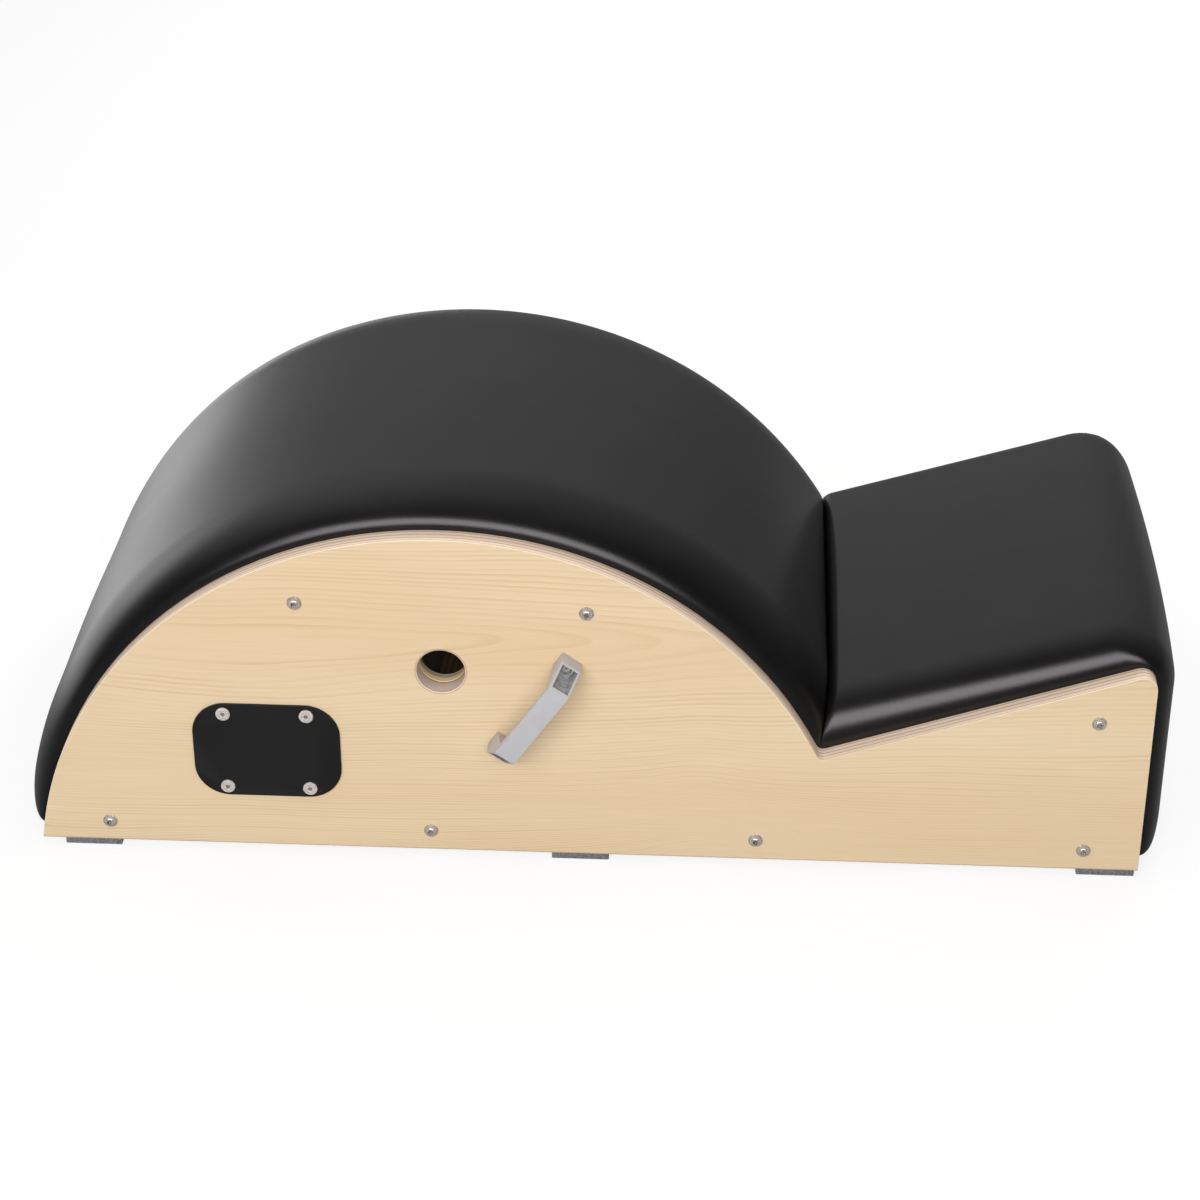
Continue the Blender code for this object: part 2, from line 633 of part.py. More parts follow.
def make_foot_pads():
    left = LEFT_CORNER_X + FOOT_LEFT_MARGIN + FOOT_LENGTH / 2
    right = SEAT_END_X - FOOT_RIGHT_MARGIN - FOOT_LENGTH / 2
    bm = bmesh.new()
    size = Matrix.Diagonal((FOOT_LENGTH, FOOT_WIDTH, FOOT_THICKNESS, 1.0))
    bmesh.ops.create_cube(bm, size=1.0, matrix=size)
    mesh = bpy.data.meshes.new("foot_pad")
    bm.to_mesh(mesh)
    bm.free()
    for side in ("front", "rear"):
        y = outward(side) * (BODY_WIDTH - PANEL_THICKNESS) / 2
        for i, x in enumerate((left, FOOT_MIDDLE_X, right)):
            place = Matrix.Translation((x, 0.0, -FIT - FOOT_THICKNESS / 2))
            add_part(f"foot_pad_{side}_{i + 1}", mesh, felt, panel_frame(y) @ place)


# Pads. Each is lofted over three lines: its lower edge, the line level with the panels' edge, and its top


def end_share(distance, length, least):
    """Share of the full height at this distance from an end that curves in over this length."""
    x = min(distance / length, 1.0)
    return least + (1.0 - least) * math.sqrt(1.0 - (1.0 - x) ** 2)


def flank_height(angle):
    x = min(max((angle - FLANK_FROM) / (FLANK_TO - FLANK_FROM), 0.0), 1.0)
    return BARREL_PAD_HEIGHT + (BARREL_FLANK_HEIGHT - BARREL_PAD_HEIGHT) * x * x * (3.0 - 2.0 * x)


def barrel_lines(lower_radius, inset):
    gap = FIT / 2 + inset
    last = BARREL_PAD_END - inset / BARREL_RADIUS
    length = BARREL_RADIUS * (last - crease_angle(BARREL_RADIUS, gap))
    middle = length - PAD_END_ROUND - BARREL_CREASE_ROUND
    distances = [BARREL_CREASE_ROUND * share for share in CREASE_SHARES]
    distances += [BARREL_CREASE_ROUND + middle * i / BARREL_PAD_STEPS for i in range(BARREL_PAD_STEPS + 1)]
    distances += [length - PAD_END_ROUND * share for share in END_SHARES]
    crease_least = 1.0 - BARREL_CREASE_ROUND / BARREL_PAD_HEIGHT
    lower, edge, top = [], [], []
    for distance in distances:
        share = distance / length
        near = end_share(distance, BARREL_CREASE_ROUND, crease_least)
        far = end_share(length - distance, PAD_END_ROUND, PAD_END_LEAST)

        def point(radius):
            first = crease_angle(radius, gap)
            return on_barrel(radius, first + (last - first) * share)

        height = flank_height(crease_angle(BARREL_RADIUS, gap) + distance / BARREL_RADIUS)
        lower.append(point(lower_radius))
        edge.append(point(BARREL_RADIUS))
        top.append(point(BARREL_RADIUS + height * near * far - inset))
    return lower, edge, top, [1.0] * len(top)


def seat_line(crease_height, end_height, side, radius, inset):
    """Points up the seat slope, round the top corner and down the end, at a height over the panels' edge."""
    first = VALLEY + SLOPE * crease_station(crease_height, FIT / 2 + inset) + SLOPE_UP * crease_height
    direction = (SEAT_CORNER + SLOPE_UP * end_height - first).normalized()
    corner = seat_corner_arc(first, direction, SEAT_END_X + side, radius, SEAT_PAD_CORNER_STEPS)
    run = corner[0] - first
    middle = 1.0 - SEAT_CREASE_ROUND / run.length
    shares = [SEAT_CREASE_ROUND / run.length * share for share in CREASE_SHARES]
    shares += [1.0 - middle + middle * i / SEAT_PAD_STEPS for i in range(SEAT_PAD_STEPS)]
    points = [first + run * share for share in shares] + corner
    end_z = PAD_END_HEIGHT + inset
    straight = corner[-1].y - end_z - PAD_END_ROUND
    for i in range(SEAT_PAD_SIDE_STEPS):
        points.append(corner[-1] - Vector((0.0, straight * (i + 1) / SEAT_PAD_SIDE_STEPS)))
    return points + [Vector((SEAT_END_X + side, end_z + PAD_END_ROUND * share)) for share in END_SHARES]


def seat_lines(lower_depth, inset):
    lower_radius = max(SEAT_CORNER_RADIUS - lower_depth, DECK_THICKNESS / 4)
    lower = seat_line(-lower_depth, -lower_depth, -lower_depth, lower_radius, inset)
    edge = seat_line(0.0, 0.0, 0.0, SEAT_CORNER_RADIUS, inset)
    full = seat_line(
        SEAT_PAD_CREASE_HEIGHT, SEAT_PAD_END_HEIGHT, SEAT_PAD_SIDE, SEAT_PAD_CORNER_RADIUS, inset
    )
    crease_least = 1.0 - SEAT_CREASE_ROUND / SEAT_PAD_CREASE_HEIGHT
    top = []
    for at_edge, at_top in zip(edge, full):
        near = end_share((at_top - full[0]).length, SEAT_CREASE_ROUND, crease_least)
        beside_end = at_top.x > SEAT_END_X + SEAT_PAD_SIDE - FIT
        distance = at_top.y - full[-1].y if beside_end else PAD_END_ROUND
        far = end_share(distance, PAD_END_ROUND, PAD_END_LEAST)
        rise = (at_top - at_edge) * (near * far)
        top.append(at_edge + rise - rise.normalized() * inset)
    return lower, edge, top, shoulder_shares(edge, full, inset)


def shoulder_shares(edge, full, inset):
    """Shares of the seat pad's height that its rounded sides reach, even round the top corner."""
    shares = [(SEAT_PAD_SHOULDER - inset) / ((high - low).length - inset) for low, high in zip(edge, full)]
    first = len(CREASE_SHARES) + SEAT_PAD_STEPS
    last = first + SEAT_PAD_CORNER_STEPS
    for i in range(first + 1, last):
        shares[i] = shares[first] + (shares[last] - shares[first]) * (i - first) / (last - first)
    return shares


def barrel_rings(lines, inset):
    return pad_rings(lines, BARREL_PAD_ROLL, (), inset)


def seat_rings(lines, inset):
    return pad_rings(lines, SEAT_PAD_ROLL, SEAT_CROWN_SHARES, inset)


def pad_rings(lines, roll, crown_shares, inset):
    """Cross-sections from one lower side over the crown to the other."""
    side = INNER_WIDTH / 2 - FIT - inset
    flat = INNER_WIDTH / 2 - FIT - roll
    columns = [(side - (roll - inset) * (1.0 - math.cos(angle)), math.sin(angle)) for angle in ROLL_ANGLES]
    columns += [(flat * share, 1.0) for share in crown_shares]
    rings = []
    for lower, edge, top, side_share in zip(*lines):
        up = (top - edge).normalized() * PAD_CROWN
        half = [(side, lower)]
        for y, rise in columns:
            lift = side_share * rise + (1.0 - side_share) * (1.0 - (y / side) ** 2)
            half.append((y, edge.lerp(top, lift)))
        ring = [(-y, place) for y, place in half] + [(0.0, top + up)] + half[::-1]
        rings.append([(place.x, y, place.y) for y, place in ring])
    return rings


def add_loft(bm, rings, closed):
    """Joins the rings with faces and closes both ends. An open ring leaves the underside open."""
    rows = [[bm.verts.new(point) for point in ring] for ring in rings]
    count = len(rows[0])
    for first, second in zip(rows, rows[1:]):
        for i in range(count if closed else count - 1):
            j = (i + 1) % count
            bm.faces.new((first[i], first[j], second[j], second[i]))
    bm.faces.new(rows[0])
    bm.faces.new(rows[-1])
    return rows


def add_loft_part(name, bm, material):
    bmesh.ops.recalc_face_normals(bm, faces=bm.faces)
    mesh = bpy.data.meshes.new(name)
    bm.to_mesh(mesh)
    bm.free()
    shade_round(mesh)
    add_part(name, mesh, material, panel_frame())


def make_cover(name, rings_at):
    """A skin that is open below: an outer loft, an inner one, and the rim that joins their lower edges."""
    bm = bmesh.new()
    outer = add_loft(bm, rings_at(0.0), False)
    inner = add_loft(bm, rings_at(COVER_THICKNESS), False)
    outer_rim = [row[0] for row in outer] + [row[-1] for row in reversed(outer)]
    inner_rim = [row[0] for row in inner] + [row[-1] for row in reversed(inner)]
    for i in range(len(outer_rim)):
        bm.faces.new((outer_rim[i - 1], outer_rim[i], inner_rim[i], inner_rim[i - 1]))
    add_loft_part(name, bm, leatherette)


def make_foam(name, rings):
    bm = bmesh.new()
    add_loft(bm, rings, True)
    add_loft_part(name, bm, foam)


def make_pads():
    make_cover("barrel_cover", lambda inset: barrel_rings(barrel_lines(BARREL_DECK_INNER, inset), inset))
    barrel = barrel_lines(BARREL_DECK_OUTER + DECK_FOAM_GAP, FOAM_INSET)
    make_foam("barrel_foam", barrel_rings(barrel, FOAM_INSET))
    make_cover("seat_cover", lambda inset: seat_rings(seat_lines(SEAT_DECK_BOTTOM, inset), inset))
    seat = seat_lines(SEAT_DECK_TOP - DECK_FOAM_GAP, FOAM_INSET)
    make_foam("seat_foam", seat_rings(seat, FOAM_INSET))


def outline_middle():
    """Half way along the outline: the barrel's cover reaches furthest left and the seat's furthest right."""
    barrel = barrel_rings(barrel_lines(BARREL_DECK_INNER, 0.0), 0.0)
    seat = seat_rings(seat_lines(SEAT_DECK_BOTTOM, 0.0), 0.0)
    left = min(x for ring in barrel for x, _, _ in ring)
    right = max(x for ring in seat for x, _, _ in ring)
    return (left + right) / 2


DECK_WIDTH = INNER_WIDTH - 2 * (2 * FIT + COVER_THICKNESS)
OUTLINE_MIDDLE = outline_middle()

clear_scene()
parts = new_collection("spine_corrector")
cutters = new_collection("cutters")
wood = new_material("panel_wood", (0.80, 0.63, 0.40), 0.45)
deck_wood = new_material("deck_plywood", (0.68, 0.50, 0.31), 0.65)
rail_wood = new_material("rail_wood", (0.72, 0.55, 0.34), 0.60)
leatherette = new_material("leatherette", (0.030, 0.029, 0.030), 0.42)
foam = new_material("foam", (0.78, 0.74, 0.60), 0.95)
black_metal = new_material("black_plate", (0.018, 0.018, 0.018), 0.50)
steel = new_material("stainless_steel", (0.66, 0.65, 0.63), 0.28, 1.0)
brass = new_material("insert_brass", (0.60, 0.45, 0.20), 0.40, 1.0)
cast_metal = new_material("cast_metal", (0.52, 0.52, 0.53), 0.42, 0.6)
felt = new_material("grey_felt", (0.13, 0.13, 0.14), 0.95)

for panel_side in ("front", "rear"):
    make_panel(panel_side)
for rail_name, rail_place, rail_turn in rail_places():
    make_rail(rail_name, rail_place, rail_turn)
make_bolts_and_inserts()
make_barrel_deck()
make_seat_deck()
make_pads()
make_blank_plate()
make_plate_screws()
make_handles()
make_handle_screws()
make_foot_pads()
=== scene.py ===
import math

import bmesh
import bpy
import numpy as np
from mathutils import Matrix, Vector


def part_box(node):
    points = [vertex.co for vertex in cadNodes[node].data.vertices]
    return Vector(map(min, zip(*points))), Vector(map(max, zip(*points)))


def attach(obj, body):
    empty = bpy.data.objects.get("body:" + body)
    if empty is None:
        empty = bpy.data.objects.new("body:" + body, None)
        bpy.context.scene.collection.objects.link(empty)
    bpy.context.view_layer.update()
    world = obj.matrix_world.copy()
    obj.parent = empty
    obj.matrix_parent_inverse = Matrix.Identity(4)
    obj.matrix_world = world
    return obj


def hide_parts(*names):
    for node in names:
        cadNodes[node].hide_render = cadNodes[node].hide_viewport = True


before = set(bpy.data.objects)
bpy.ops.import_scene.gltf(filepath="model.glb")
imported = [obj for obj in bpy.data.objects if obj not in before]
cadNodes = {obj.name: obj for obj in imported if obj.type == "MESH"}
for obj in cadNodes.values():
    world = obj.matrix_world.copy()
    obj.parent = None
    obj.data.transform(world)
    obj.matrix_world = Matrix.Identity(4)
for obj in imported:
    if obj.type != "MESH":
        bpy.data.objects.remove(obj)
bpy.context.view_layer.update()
print("frame loaded:", len(cadNodes), "solids")

# everything is placed from the front panel's box, so that it lands where the solids are
panelLow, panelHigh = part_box("side_panel_front")
body = {
    "panelFace": -panelLow.y,  # distance of a panel's outer face from the middle
    "innerFace": -panelHigh.y,
    "base": panelLow.z,
    "barrelRadius": 0.360,
    "barrelDrop": 0.050,
    "valleyLean": math.radians(64.71),
    "seatSlope": math.radians(19.0),
    "seatEnd": 0.606,
    "creaseLean": math.radians(80.0),
    "padFoot": 0.003,  # the pads' lower ends, above the panels' lower edge
    "deckInner": 0.33743,
    "deckThickness": 0.009,
    "seatDeckDepth": 0.0152,
    "fit": 0.0003,
}
barrelX = panelLow.x + math.sqrt(body["barrelRadius"] ** 2 - body["barrelDrop"] ** 2)
barrelZ = body["base"] - body["barrelDrop"]


# small helpers used by every piece
def selectNone():
    bpy.ops.object.select_all(action="DESELECT")


def selectOnly(obj):
    selectNone()
    obj.select_set(True)
    bpy.context.view_layer.objects.active = obj


def named(name):
    obj = bpy.context.active_object
    obj.name = name
    obj.data.name = name
    return obj


def applyPlace(obj):
    selectOnly(obj)
    bpy.ops.object.transform_apply(location=True, rotation=True, scale=True)


def applyModifiers(obj):
    selectOnly(obj)
    for modifier in list(obj.modifiers):
        bpy.ops.object.modifier_apply(modifier=modifier.name)


def smoothShade(obj, degrees=35):
    selectOnly(obj)
    bpy.ops.object.shade_smooth_by_angle(angle=math.radians(degrees))


def enterEdit(obj, kind="FACE", action="DESELECT"):
    selectOnly(obj)
    bpy.ops.object.mode_set(mode="EDIT")
    bpy.ops.mesh.select_mode(type=kind)
    bpy.ops.mesh.select_all(action=action)


def leaveEdit():
    bpy.ops.object.mode_set(mode="OBJECT")


def pick(obj, kind, test):
    mesh = bmesh.from_edit_mesh(obj.data)
    for item in getattr(mesh, kind):
        item.select = test(item)
    bmesh.update_edit_mesh(obj.data)


def scaleFlat(share, height):
    bpy.ops.transform.resize(value=(share, share, 1.0), center_override=(0.0, 0.0, height))


def pullOut(move):
    bpy.ops.mesh.extrude_region_move(TRANSFORM_OT_translate={"value": move})


def fixNormals(obj):
    enterEdit(obj, action="SELECT")
    bpy.ops.mesh.normals_make_consistent(inside=False)
    leaveEdit()


def addBox(name, middle, size):
    selectNone()
    bpy.ops.mesh.primitive_cube_add(size=1.0, location=middle, scale=size)
    box = named(name)
    applyPlace(box)
    return box


def addCylinder(sides, radius, depth, middle, turn=(0, 0, 0)):
    selectNone()
    bpy.ops.mesh.primitive_cylinder_add(
        vertices=sides, radius=radius, depth=depth, location=middle, rotation=turn
    )
    cylinder = bpy.context.active_object
    applyPlace(cylinder)
    return cylinder


def cutWith(obj, cutter):
    modifier = obj.modifiers.new("cut", "BOOLEAN")
    modifier.object = cutter
    modifier.solver = "EXACT"
    applyModifiers(obj)
    bpy.data.objects.remove(cutter)


def roundEdges(obj, width, segments, degrees=30):
    modifier = obj.modifiers.new("round", "BEVEL")
    modifier.width = width
    modifier.segments = segments
    modifier.limit_method = "ANGLE"
    modifier.angle_limit = math.radians(degrees)
    applyModifiers(obj)


def copyPiece(obj, name):
    made = obj.copy()
    made.data = obj.data.copy()
    made.name = name
    made.data.name = name
    bpy.context.scene.collection.objects.link(made)
    return made


def dress(obj, material, slot, *replaced):
    obj.data.materials.clear()
    obj.data.materials.append(material)
    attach(obj, "root")
    if replaced:
        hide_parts(*replaced)


# node helpers for the materials
def newMaterial(name, roughness=0.5, metallic=0.0):
    material = bpy.data.materials.new(name)
    material.use_nodes = True
    tree = material.node_tree
    shader = tree.nodes["Principled BSDF"]
    shader.inputs["Roughness"].default_value = roughness
    shader.inputs["Metallic"].default_value = metallic
    return material, tree, shader


def addNode(tree, kind, **inputs):
    made = tree.nodes.new("ShaderNode" + kind)
    for key, value in inputs.items():
        feed(tree, made.inputs[key], value)
    return made


def feed(tree, socket, value):
    if isinstance(value, bpy.types.NodeSocket):
        tree.links.new(value, socket)
    else:
        socket.default_value = value


def calc(tree, operation, *values):
    made = tree.nodes.new("ShaderNodeMath")
    made.operation = operation
    for socket, value in zip(made.inputs, values):
        feed(tree, socket, value)
    return made.outputs[0]


def times(tree, first, second):
    return calc(tree, "MULTIPLY", first, second)


def plus(tree, first, second):
    return calc(tree, "ADD", first, second)


def minus(tree, first, second):
    return calc(tree, "SUBTRACT", first, second)


def sweep(tree, value, low, high, toLow=0.0, toHigh=1.0):
    made = tree.nodes.new("ShaderNodeMapRange")
    made.interpolation_type = "SMOOTHSTEP"
    for socket, number in zip(made.inputs, (value, low, high, toLow, toHigh)):
        feed(tree, socket, number)
    return made.outputs[0]


def blendColour(tree, share, first, second):
    made = tree.nodes.new("ShaderNodeMix")
    made.data_type = "RGBA"
    for socket, value in ((0, share), (6, first), (7, second)):
        feed(tree, made.inputs[socket], value)
    return made.outputs[2]


def tinted(tree, base, tint, pattern, low, high, share=None):
    # the base takes on the tint where the pattern climbs from low to high
    amount = sweep(tree, pattern, low, high)
    if share is not None:
        amount = times(tree, amount, share)
    return blendColour(tree, amount, base, tint)


def noise(tree, vector, scale, detail=2.0, rough=0.5, seed=0.0):
    # scale is one number, or three for a pattern that is stretched
    if isinstance(scale, tuple):
        vector = addNode(tree, "Mapping", Vector=vector, Scale=scale).outputs[0]
        scale = 1.0
    made = addNode(tree, "TexNoise", Scale=scale, Detail=detail, Roughness=rough)
    made.noise_dimensions = "4D"
    made.inputs["W"].default_value = seed
    feed(tree, made.inputs["Vector"], vector)
    return made.outputs[0]


def cells(tree, vector, scale, feature="F1"):
    made = tree.nodes.new("ShaderNodeTexVoronoi")
    made.feature = feature
    made.inputs["Scale"].default_value = scale
    feed(tree, made.inputs["Vector"], vector)
    return made.outputs["Distance"]


def bump(tree, height, distance, strength):
    return addNode(tree, "Bump", Height=height, Distance=distance, Strength=strength).outputs[0]


def objectPoint(tree):
    return tree.nodes.new("ShaderNodeTexCoord").outputs["Object"]


def mapPoint(tree):
    return tree.nodes.new("ShaderNodeTexCoord").outputs["UV"]


def paint(tree, shader, tone, normal, rough=None):
    feed(tree, shader.inputs["Base Color"], tone)
    feed(tree, shader.inputs["Normal"], normal)
    if rough:
        feed(tree, shader.inputs["Roughness"], rough)


def mixShaders(tree, share, first, second):
    made = tree.nodes.new("ShaderNodeMixShader")
    for socket, value in zip(made.inputs, (share, first.outputs[0], second.outputs[0])):
        feed(tree, socket, value)
    return made.outputs[0]


def splitPoint(tree, vector):
    made = tree.nodes.new("ShaderNodeSeparateXYZ")
    feed(tree, made.inputs[0], vector)
    return made.outputs[0], made.outputs[1], made.outputs[2]


def alongLine(tree, value):
    # a number as a place, for a texture that varies with that number alone
    made = tree.nodes.new("ShaderNodeCombineXYZ")
    feed(tree, made.inputs[0], value)
    return made.outputs[0]


def colour(red, green, blue):
    # a screen colour, 0 to 255, as the linear value that a shader takes
    def linear(value):
        value /= 255
        return value / 12.92 if value <= 0.04045 else ((value + 0.055) / 1.055) ** 2.4

    return (linear(red), linear(green), linear(blue), 1.0)


# side panels: pale veneer with arched growth lines, and the layered edge of the plywood
panelLook = {
    "pale": colour(236, 213, 179),
    "warm": colour(231, 205, 168),
    "line": colour(209, 176, 127),
    "eyeX": -0.15,  # where the growth lines change side, from the barrel's middle
    "eyeZ": 0.214,
    "taper": 0.075,  # how low the arches are for their length
    "humpX": 0.222,
    "humpWidth": 0.045,
    "humpHeight": 0.020,
    "humpFrom": 0.02,  # above the lower edge, where the swelling is full
    "humpTo": 0.16,  # and where it has faded
    "eyeRound": 0.008,
    "drift": 0.085,
    "ripple": 0.0042,
    "steps": 0.002,
    "ringWidth": 0.0056,
    "crowding": 560.0,  # how fast the rings draw together away from the middle
    "lineShare": 0.62,
    "fibreShare": 0.16,
    "poreShare": 0.14,
    "edgeLayers": (  # depth from the outer face as a share of the panel, and colour
        (0.03, colour(248, 234, 214)),
        (0.06, colour(208, 146, 104)),
        (0.10, colour(246, 226, 202)),
        (0.27, colour(240, 218, 192)),
        (0.31, colour(166, 126, 102)),
        (0.35, colour(242, 220, 198)),
        (0.54, colour(234, 208, 184)),
        (0.59, colour(162, 124, 102)),
        (0.63, colour(246, 224, 202)),
        (0.80, colour(238, 214, 190)),
        (0.85, colour(174, 138, 116)),
        (0.89, colour(234, 210, 188)),
    ),
    "edgeDark": colour(214, 184, 160),
    "glue": colour(168, 132, 112),
    # painted shade, for the dark line along the lower edge and the painted shadow round the grip hole
    "shadeLine": colour(150, 108, 84),  # along the lower edge of the face
    # painted highlight on the rounded edges of the faces and of the grip hole
    "chamfer": colour(248, 236, 218),
    "boreLayers": (  # depth from the outer face as a share of the whole bore, and colour
        (0.035, colour(176, 120, 98)),
        (0.065, colour(216, 196, 184)),
        (0.44, colour(226, 208, 196)),
        (0.52, colour(228, 190, 134)),
        (0.68, colour(222, 182, 124)),
        (0.73, colour(228, 216, 190)),
        (0.78, colour(196, 176, 140)),
        (0.92, colour(178, 164, 136)),
        (0.97, colour(220, 210, 190)),
    ),
    "thickness": panelHigh.y - panelLow.y,
    "edgeRound": 0.0004,
    "holeRound": 0.0008,
}
gripHole = {"x": 0.002, "z": 0.183, "radius": 0.0208, "block": 0.090, "blockDepth": 0.0125}
holeX = barrelX + gripHole["x"]
holeZ = body["base"] + gripHole["z"]
sideways = (math.pi / 2, 0, 0)  # turns a cylinder so that it runs across the body


def layerRamp(tree, share, layers):
    ramp = tree.nodes.new("ShaderNodeValToRGB")
    feed(tree, ramp.inputs[0], share)
    for spot, tint in layers[1:-1]:
        ramp.color_ramp.elements.new(spot).color = tint
    for end in (0, -1):
        ramp.color_ramp.elements[end].position, ramp.color_ramp.elements[end].color = layers[end]
    return ramp.outputs[0]


def lateWood(tree, phase, low, high, fall):
    # darker and darker through each ring, then pale again at once
    return sweep(tree, phase, low, high), sweep(tree, phase, fall, 1.0, 1.0, 0.0)


def growthLines(tree, place, x, z):
    # how dark the late wood of the rings is, 0 to 1
    look = panelLook
    drift = noise(tree, place, (1.3, 0.2, 5.0), 2.0, 0.5, 3.0)
    ripple = noise(tree, place, (9.0, 0.5, 34.0), 3.0, 0.55, 8.0)
    up = minus(tree, z, body["base"] + look["eyeZ"])
    up = plus(tree, up, times(tree, minus(tree, drift, 0.5), look["drift"]))
    # a swelling in the grain, left of the valley
    aside = calc(tree, "DIVIDE", minus(tree, x, barrelX + look["humpX"]), look["humpWidth"])
    hump = calc(tree, "DIVIDE", look["humpHeight"], calc(tree, "MULTIPLY_ADD", aside, aside, 1.0))
    lower = sweep(tree, z, body["base"] + look["humpFrom"], body["base"] + look["humpTo"], 1.0, 0.2)
    up = minus(tree, up, times(tree, hump, lower))
    depth = times(tree, minus(tree, x, barrelX + look["eyeX"]), look["taper"])
    depth = calc(tree, "MULTIPLY_ADD", depth, depth, look["eyeRound"] ** 2)
    ring = calc(tree, "SQRT", calc(tree, "MULTIPLY_ADD", up, up, depth))
    ring = plus(tree, ring, times(tree, ripple, look["ripple"]))
    steps = noise(tree, alongLine(tree, ring), 75.0, 1.0, 0.5, 1.0)
    ring = plus(tree, ring, times(tree, steps, look["steps"]))
    # the rings lie closer together away from the middle of the board
    density = calc(tree, "MULTIPLY_ADD", ring, look["crowding"], 1.0 / look["ringWidth"])
    count = times(tree, ring, density)
    phase = calc(tree, "FRACT", count)
    rise, fall = lateWood(tree, phase, 0.25, 0.88, 0.92)
    late = times(tree, calc(tree, "POWER", rise, 1.6), fall)
    # each ring has a darkness of its own
    ringTone = noise(tree, alongLine(tree, calc(tree, "FLOOR", count)), 0.83, 0.0, 0.5, 7.0)
    late = times(tree, late, sweep(tree, ringTone, 0.30, 0.70, 0.15, 1.0))
    patches = noise(tree, place, (4.0, 0.5, 30.0), 2.0, 0.5, 5.0)
    return times(tree, late, sweep(tree, patches, 0.36, 0.66, 0.25, 1.0))


def veneerFace(tree, place, z, late, fibre, fromHole):
    look = panelLook
    broad = noise(tree, place, (1.6, 0.4, 11.0), 2.0, 0.5, 11.0)
    pores = noise(tree, place, (60.0, 20.0, 1500.0), 1.0, 0.5, 4.0)
    face = tinted(tree, look["pale"], look["warm"], broad, 0.3, 0.7)
    face = blendColour(tree, times(tree, late, look["lineShare"]), face, look["line"])
    face = tinted(tree, face, look["line"], fibre, 0.35, 0.7, look["fibreShare"])
    face = tinted(tree, face, look["line"], pores, 0.66, 0.80, look["poreShare"])
    # painted shade: a dark line at the foot of the face, and a painted shadow round the grip hole
    foot = sweep(tree, z, body["base"] + 0.0005, body["base"] + 0.0013, 0.75, 0.0)
    face = blendColour(tree, foot, face, look["shadeLine"])
    holeShadow = sweep(tree, fromHole, gripHole["radius"] + 0.0012, gripHole["radius"] + 0.0022, 0.45, 0.0)
    return blendColour(tree, holeShadow, face, look["shadeLine"])


def plywoodEdge(tree, place, y, tone, speck, fromHole):
    # the cut edge: layers by their depth from the outer face
    look = panelLook
    inward = minus(tree, body["panelFace"], calc(tree, "ABSOLUTE", y))
    waver = noise(tree, place, (30.0, 0.0, 30.0), 2.0, 0.5, 6.0)
    layer = calc(tree, "DIVIDE", inward, look["thickness"])
    layer = plus(tree, layer, times(tree, minus(tree, waver, 0.5), 0.03))
    edge = layerRamp(tree, layer, look["edgeLayers"])
    edge = tinted(tree, edge, look["edgeDark"], tone, 0.35, 0.7, 0.30)
    edge = tinted(tree, edge, look["glue"], speck, 0.55, 0.75, 0.2)
    # the grip hole's bore shows the plies more strongly, torn towards the inside
    tears = noise(tree, place, (500.0, 60.0, 500.0), 3.0, 0.7, 14.0)
    deep = calc(tree, "DIVIDE", inward, look["thickness"] + gripHole["blockDepth"])
    torn = times(tree, minus(tree, tears, 0.5), times(tree, deep, 0.10))
    bore = layerRamp(tree, plus(tree, deep, torn), look["boreLayers"])
    bore = tinted(tree, bore, look["glue"], tears, 0.55, 0.8, 0.4)
    inBore = sweep(tree, fromHole, gripHole["radius"] + 0.002, gripHole["radius"] + 0.003, 1.0, 0.0)
    return blendColour(tree, inBore, edge, bore)


def veneerMaterial():
    material, tree, shader = newMaterial("paleVeneer", 0.44)
    place = objectPoint(tree)
    x, y, z = splitPoint(tree, place)
    asideX = minus(tree, x, holeX)
    asideZ = minus(tree, z, holeZ)
    fromHole = calc(tree, "SQRT", calc(tree, "MULTIPLY_ADD", asideX, asideX, times(tree, asideZ, asideZ)))
    late = growthLines(tree, place, x, z)
    fibre = noise(tree, place, (14.0, 14.0, 900.0), 3.0, 0.6, 2.0)
    tone = noise(tree, place, (22.0, 900.0, 22.0), 3.0, 0.6, 9.0)
    speck = noise(tree, place, 900.0, 2.0, 0.6, 12.0)
    normal = tree.nodes.new("ShaderNodeNewGeometry").outputs["True Normal"]
    facing = calc(tree, "ABSOLUTE", splitPoint(tree, normal)[1])
    onFace = sweep(tree, facing, 0.94, 0.98)
    face = veneerFace(tree, place, z, late, fibre, fromHole)
    edge = plywoodEdge(tree, place, y, tone, speck, fromHole)
    # painted highlight: the rounded edges, which face partly sideways, are drawn pale
    edge = tinted(tree, edge, panelLook["chamfer"], facing, 0.15, 0.30)
    relief = plus(tree, times(tree, fibre, 0.5), times(tree, late, -0.3))
    mixed = tree.nodes.new("ShaderNodeMix")
    mixed.data_type = "VECTOR"
    feed(tree, mixed.inputs["Factor"], onFace)
    feed(tree, mixed.inputs[4], bump(tree, plus(tree, speck, times(tree, tone, 0.6)), 0.00012, 0.5))
    feed(tree, mixed.inputs[5], bump(tree, relief, 0.00006, 0.35))
    rough = plus(tree, sweep(tree, onFace, 0.0, 1.0, 0.72, 0.43), times(tree, late, -0.05))
    paint(tree, shader, blendColour(tree, onFace, edge, face), mixed.outputs[1], rough)
    shader.inputs["Specular IOR Level"].default_value = 0.35
    return material


def isRim(edge, nearHole):
    # an edge where a large face meets the cut, either at the grip hole or elsewhere
    if len(edge.link_faces) != 2 or edge.calc_face_angle(0.0) < math.radians(50):
        return False
    start, end = (vert.co for vert in edge.verts)
    if abs(start.y - end.y) > 0.001:
        return False
    middle = (start + end) / 2
    gap = math.hypot(middle.x - holeX, middle.z - holeZ)
    small = edge.calc_length() < 0.0022 and gap > 0.03
    return (gap < 0.03) == nearHole and not small


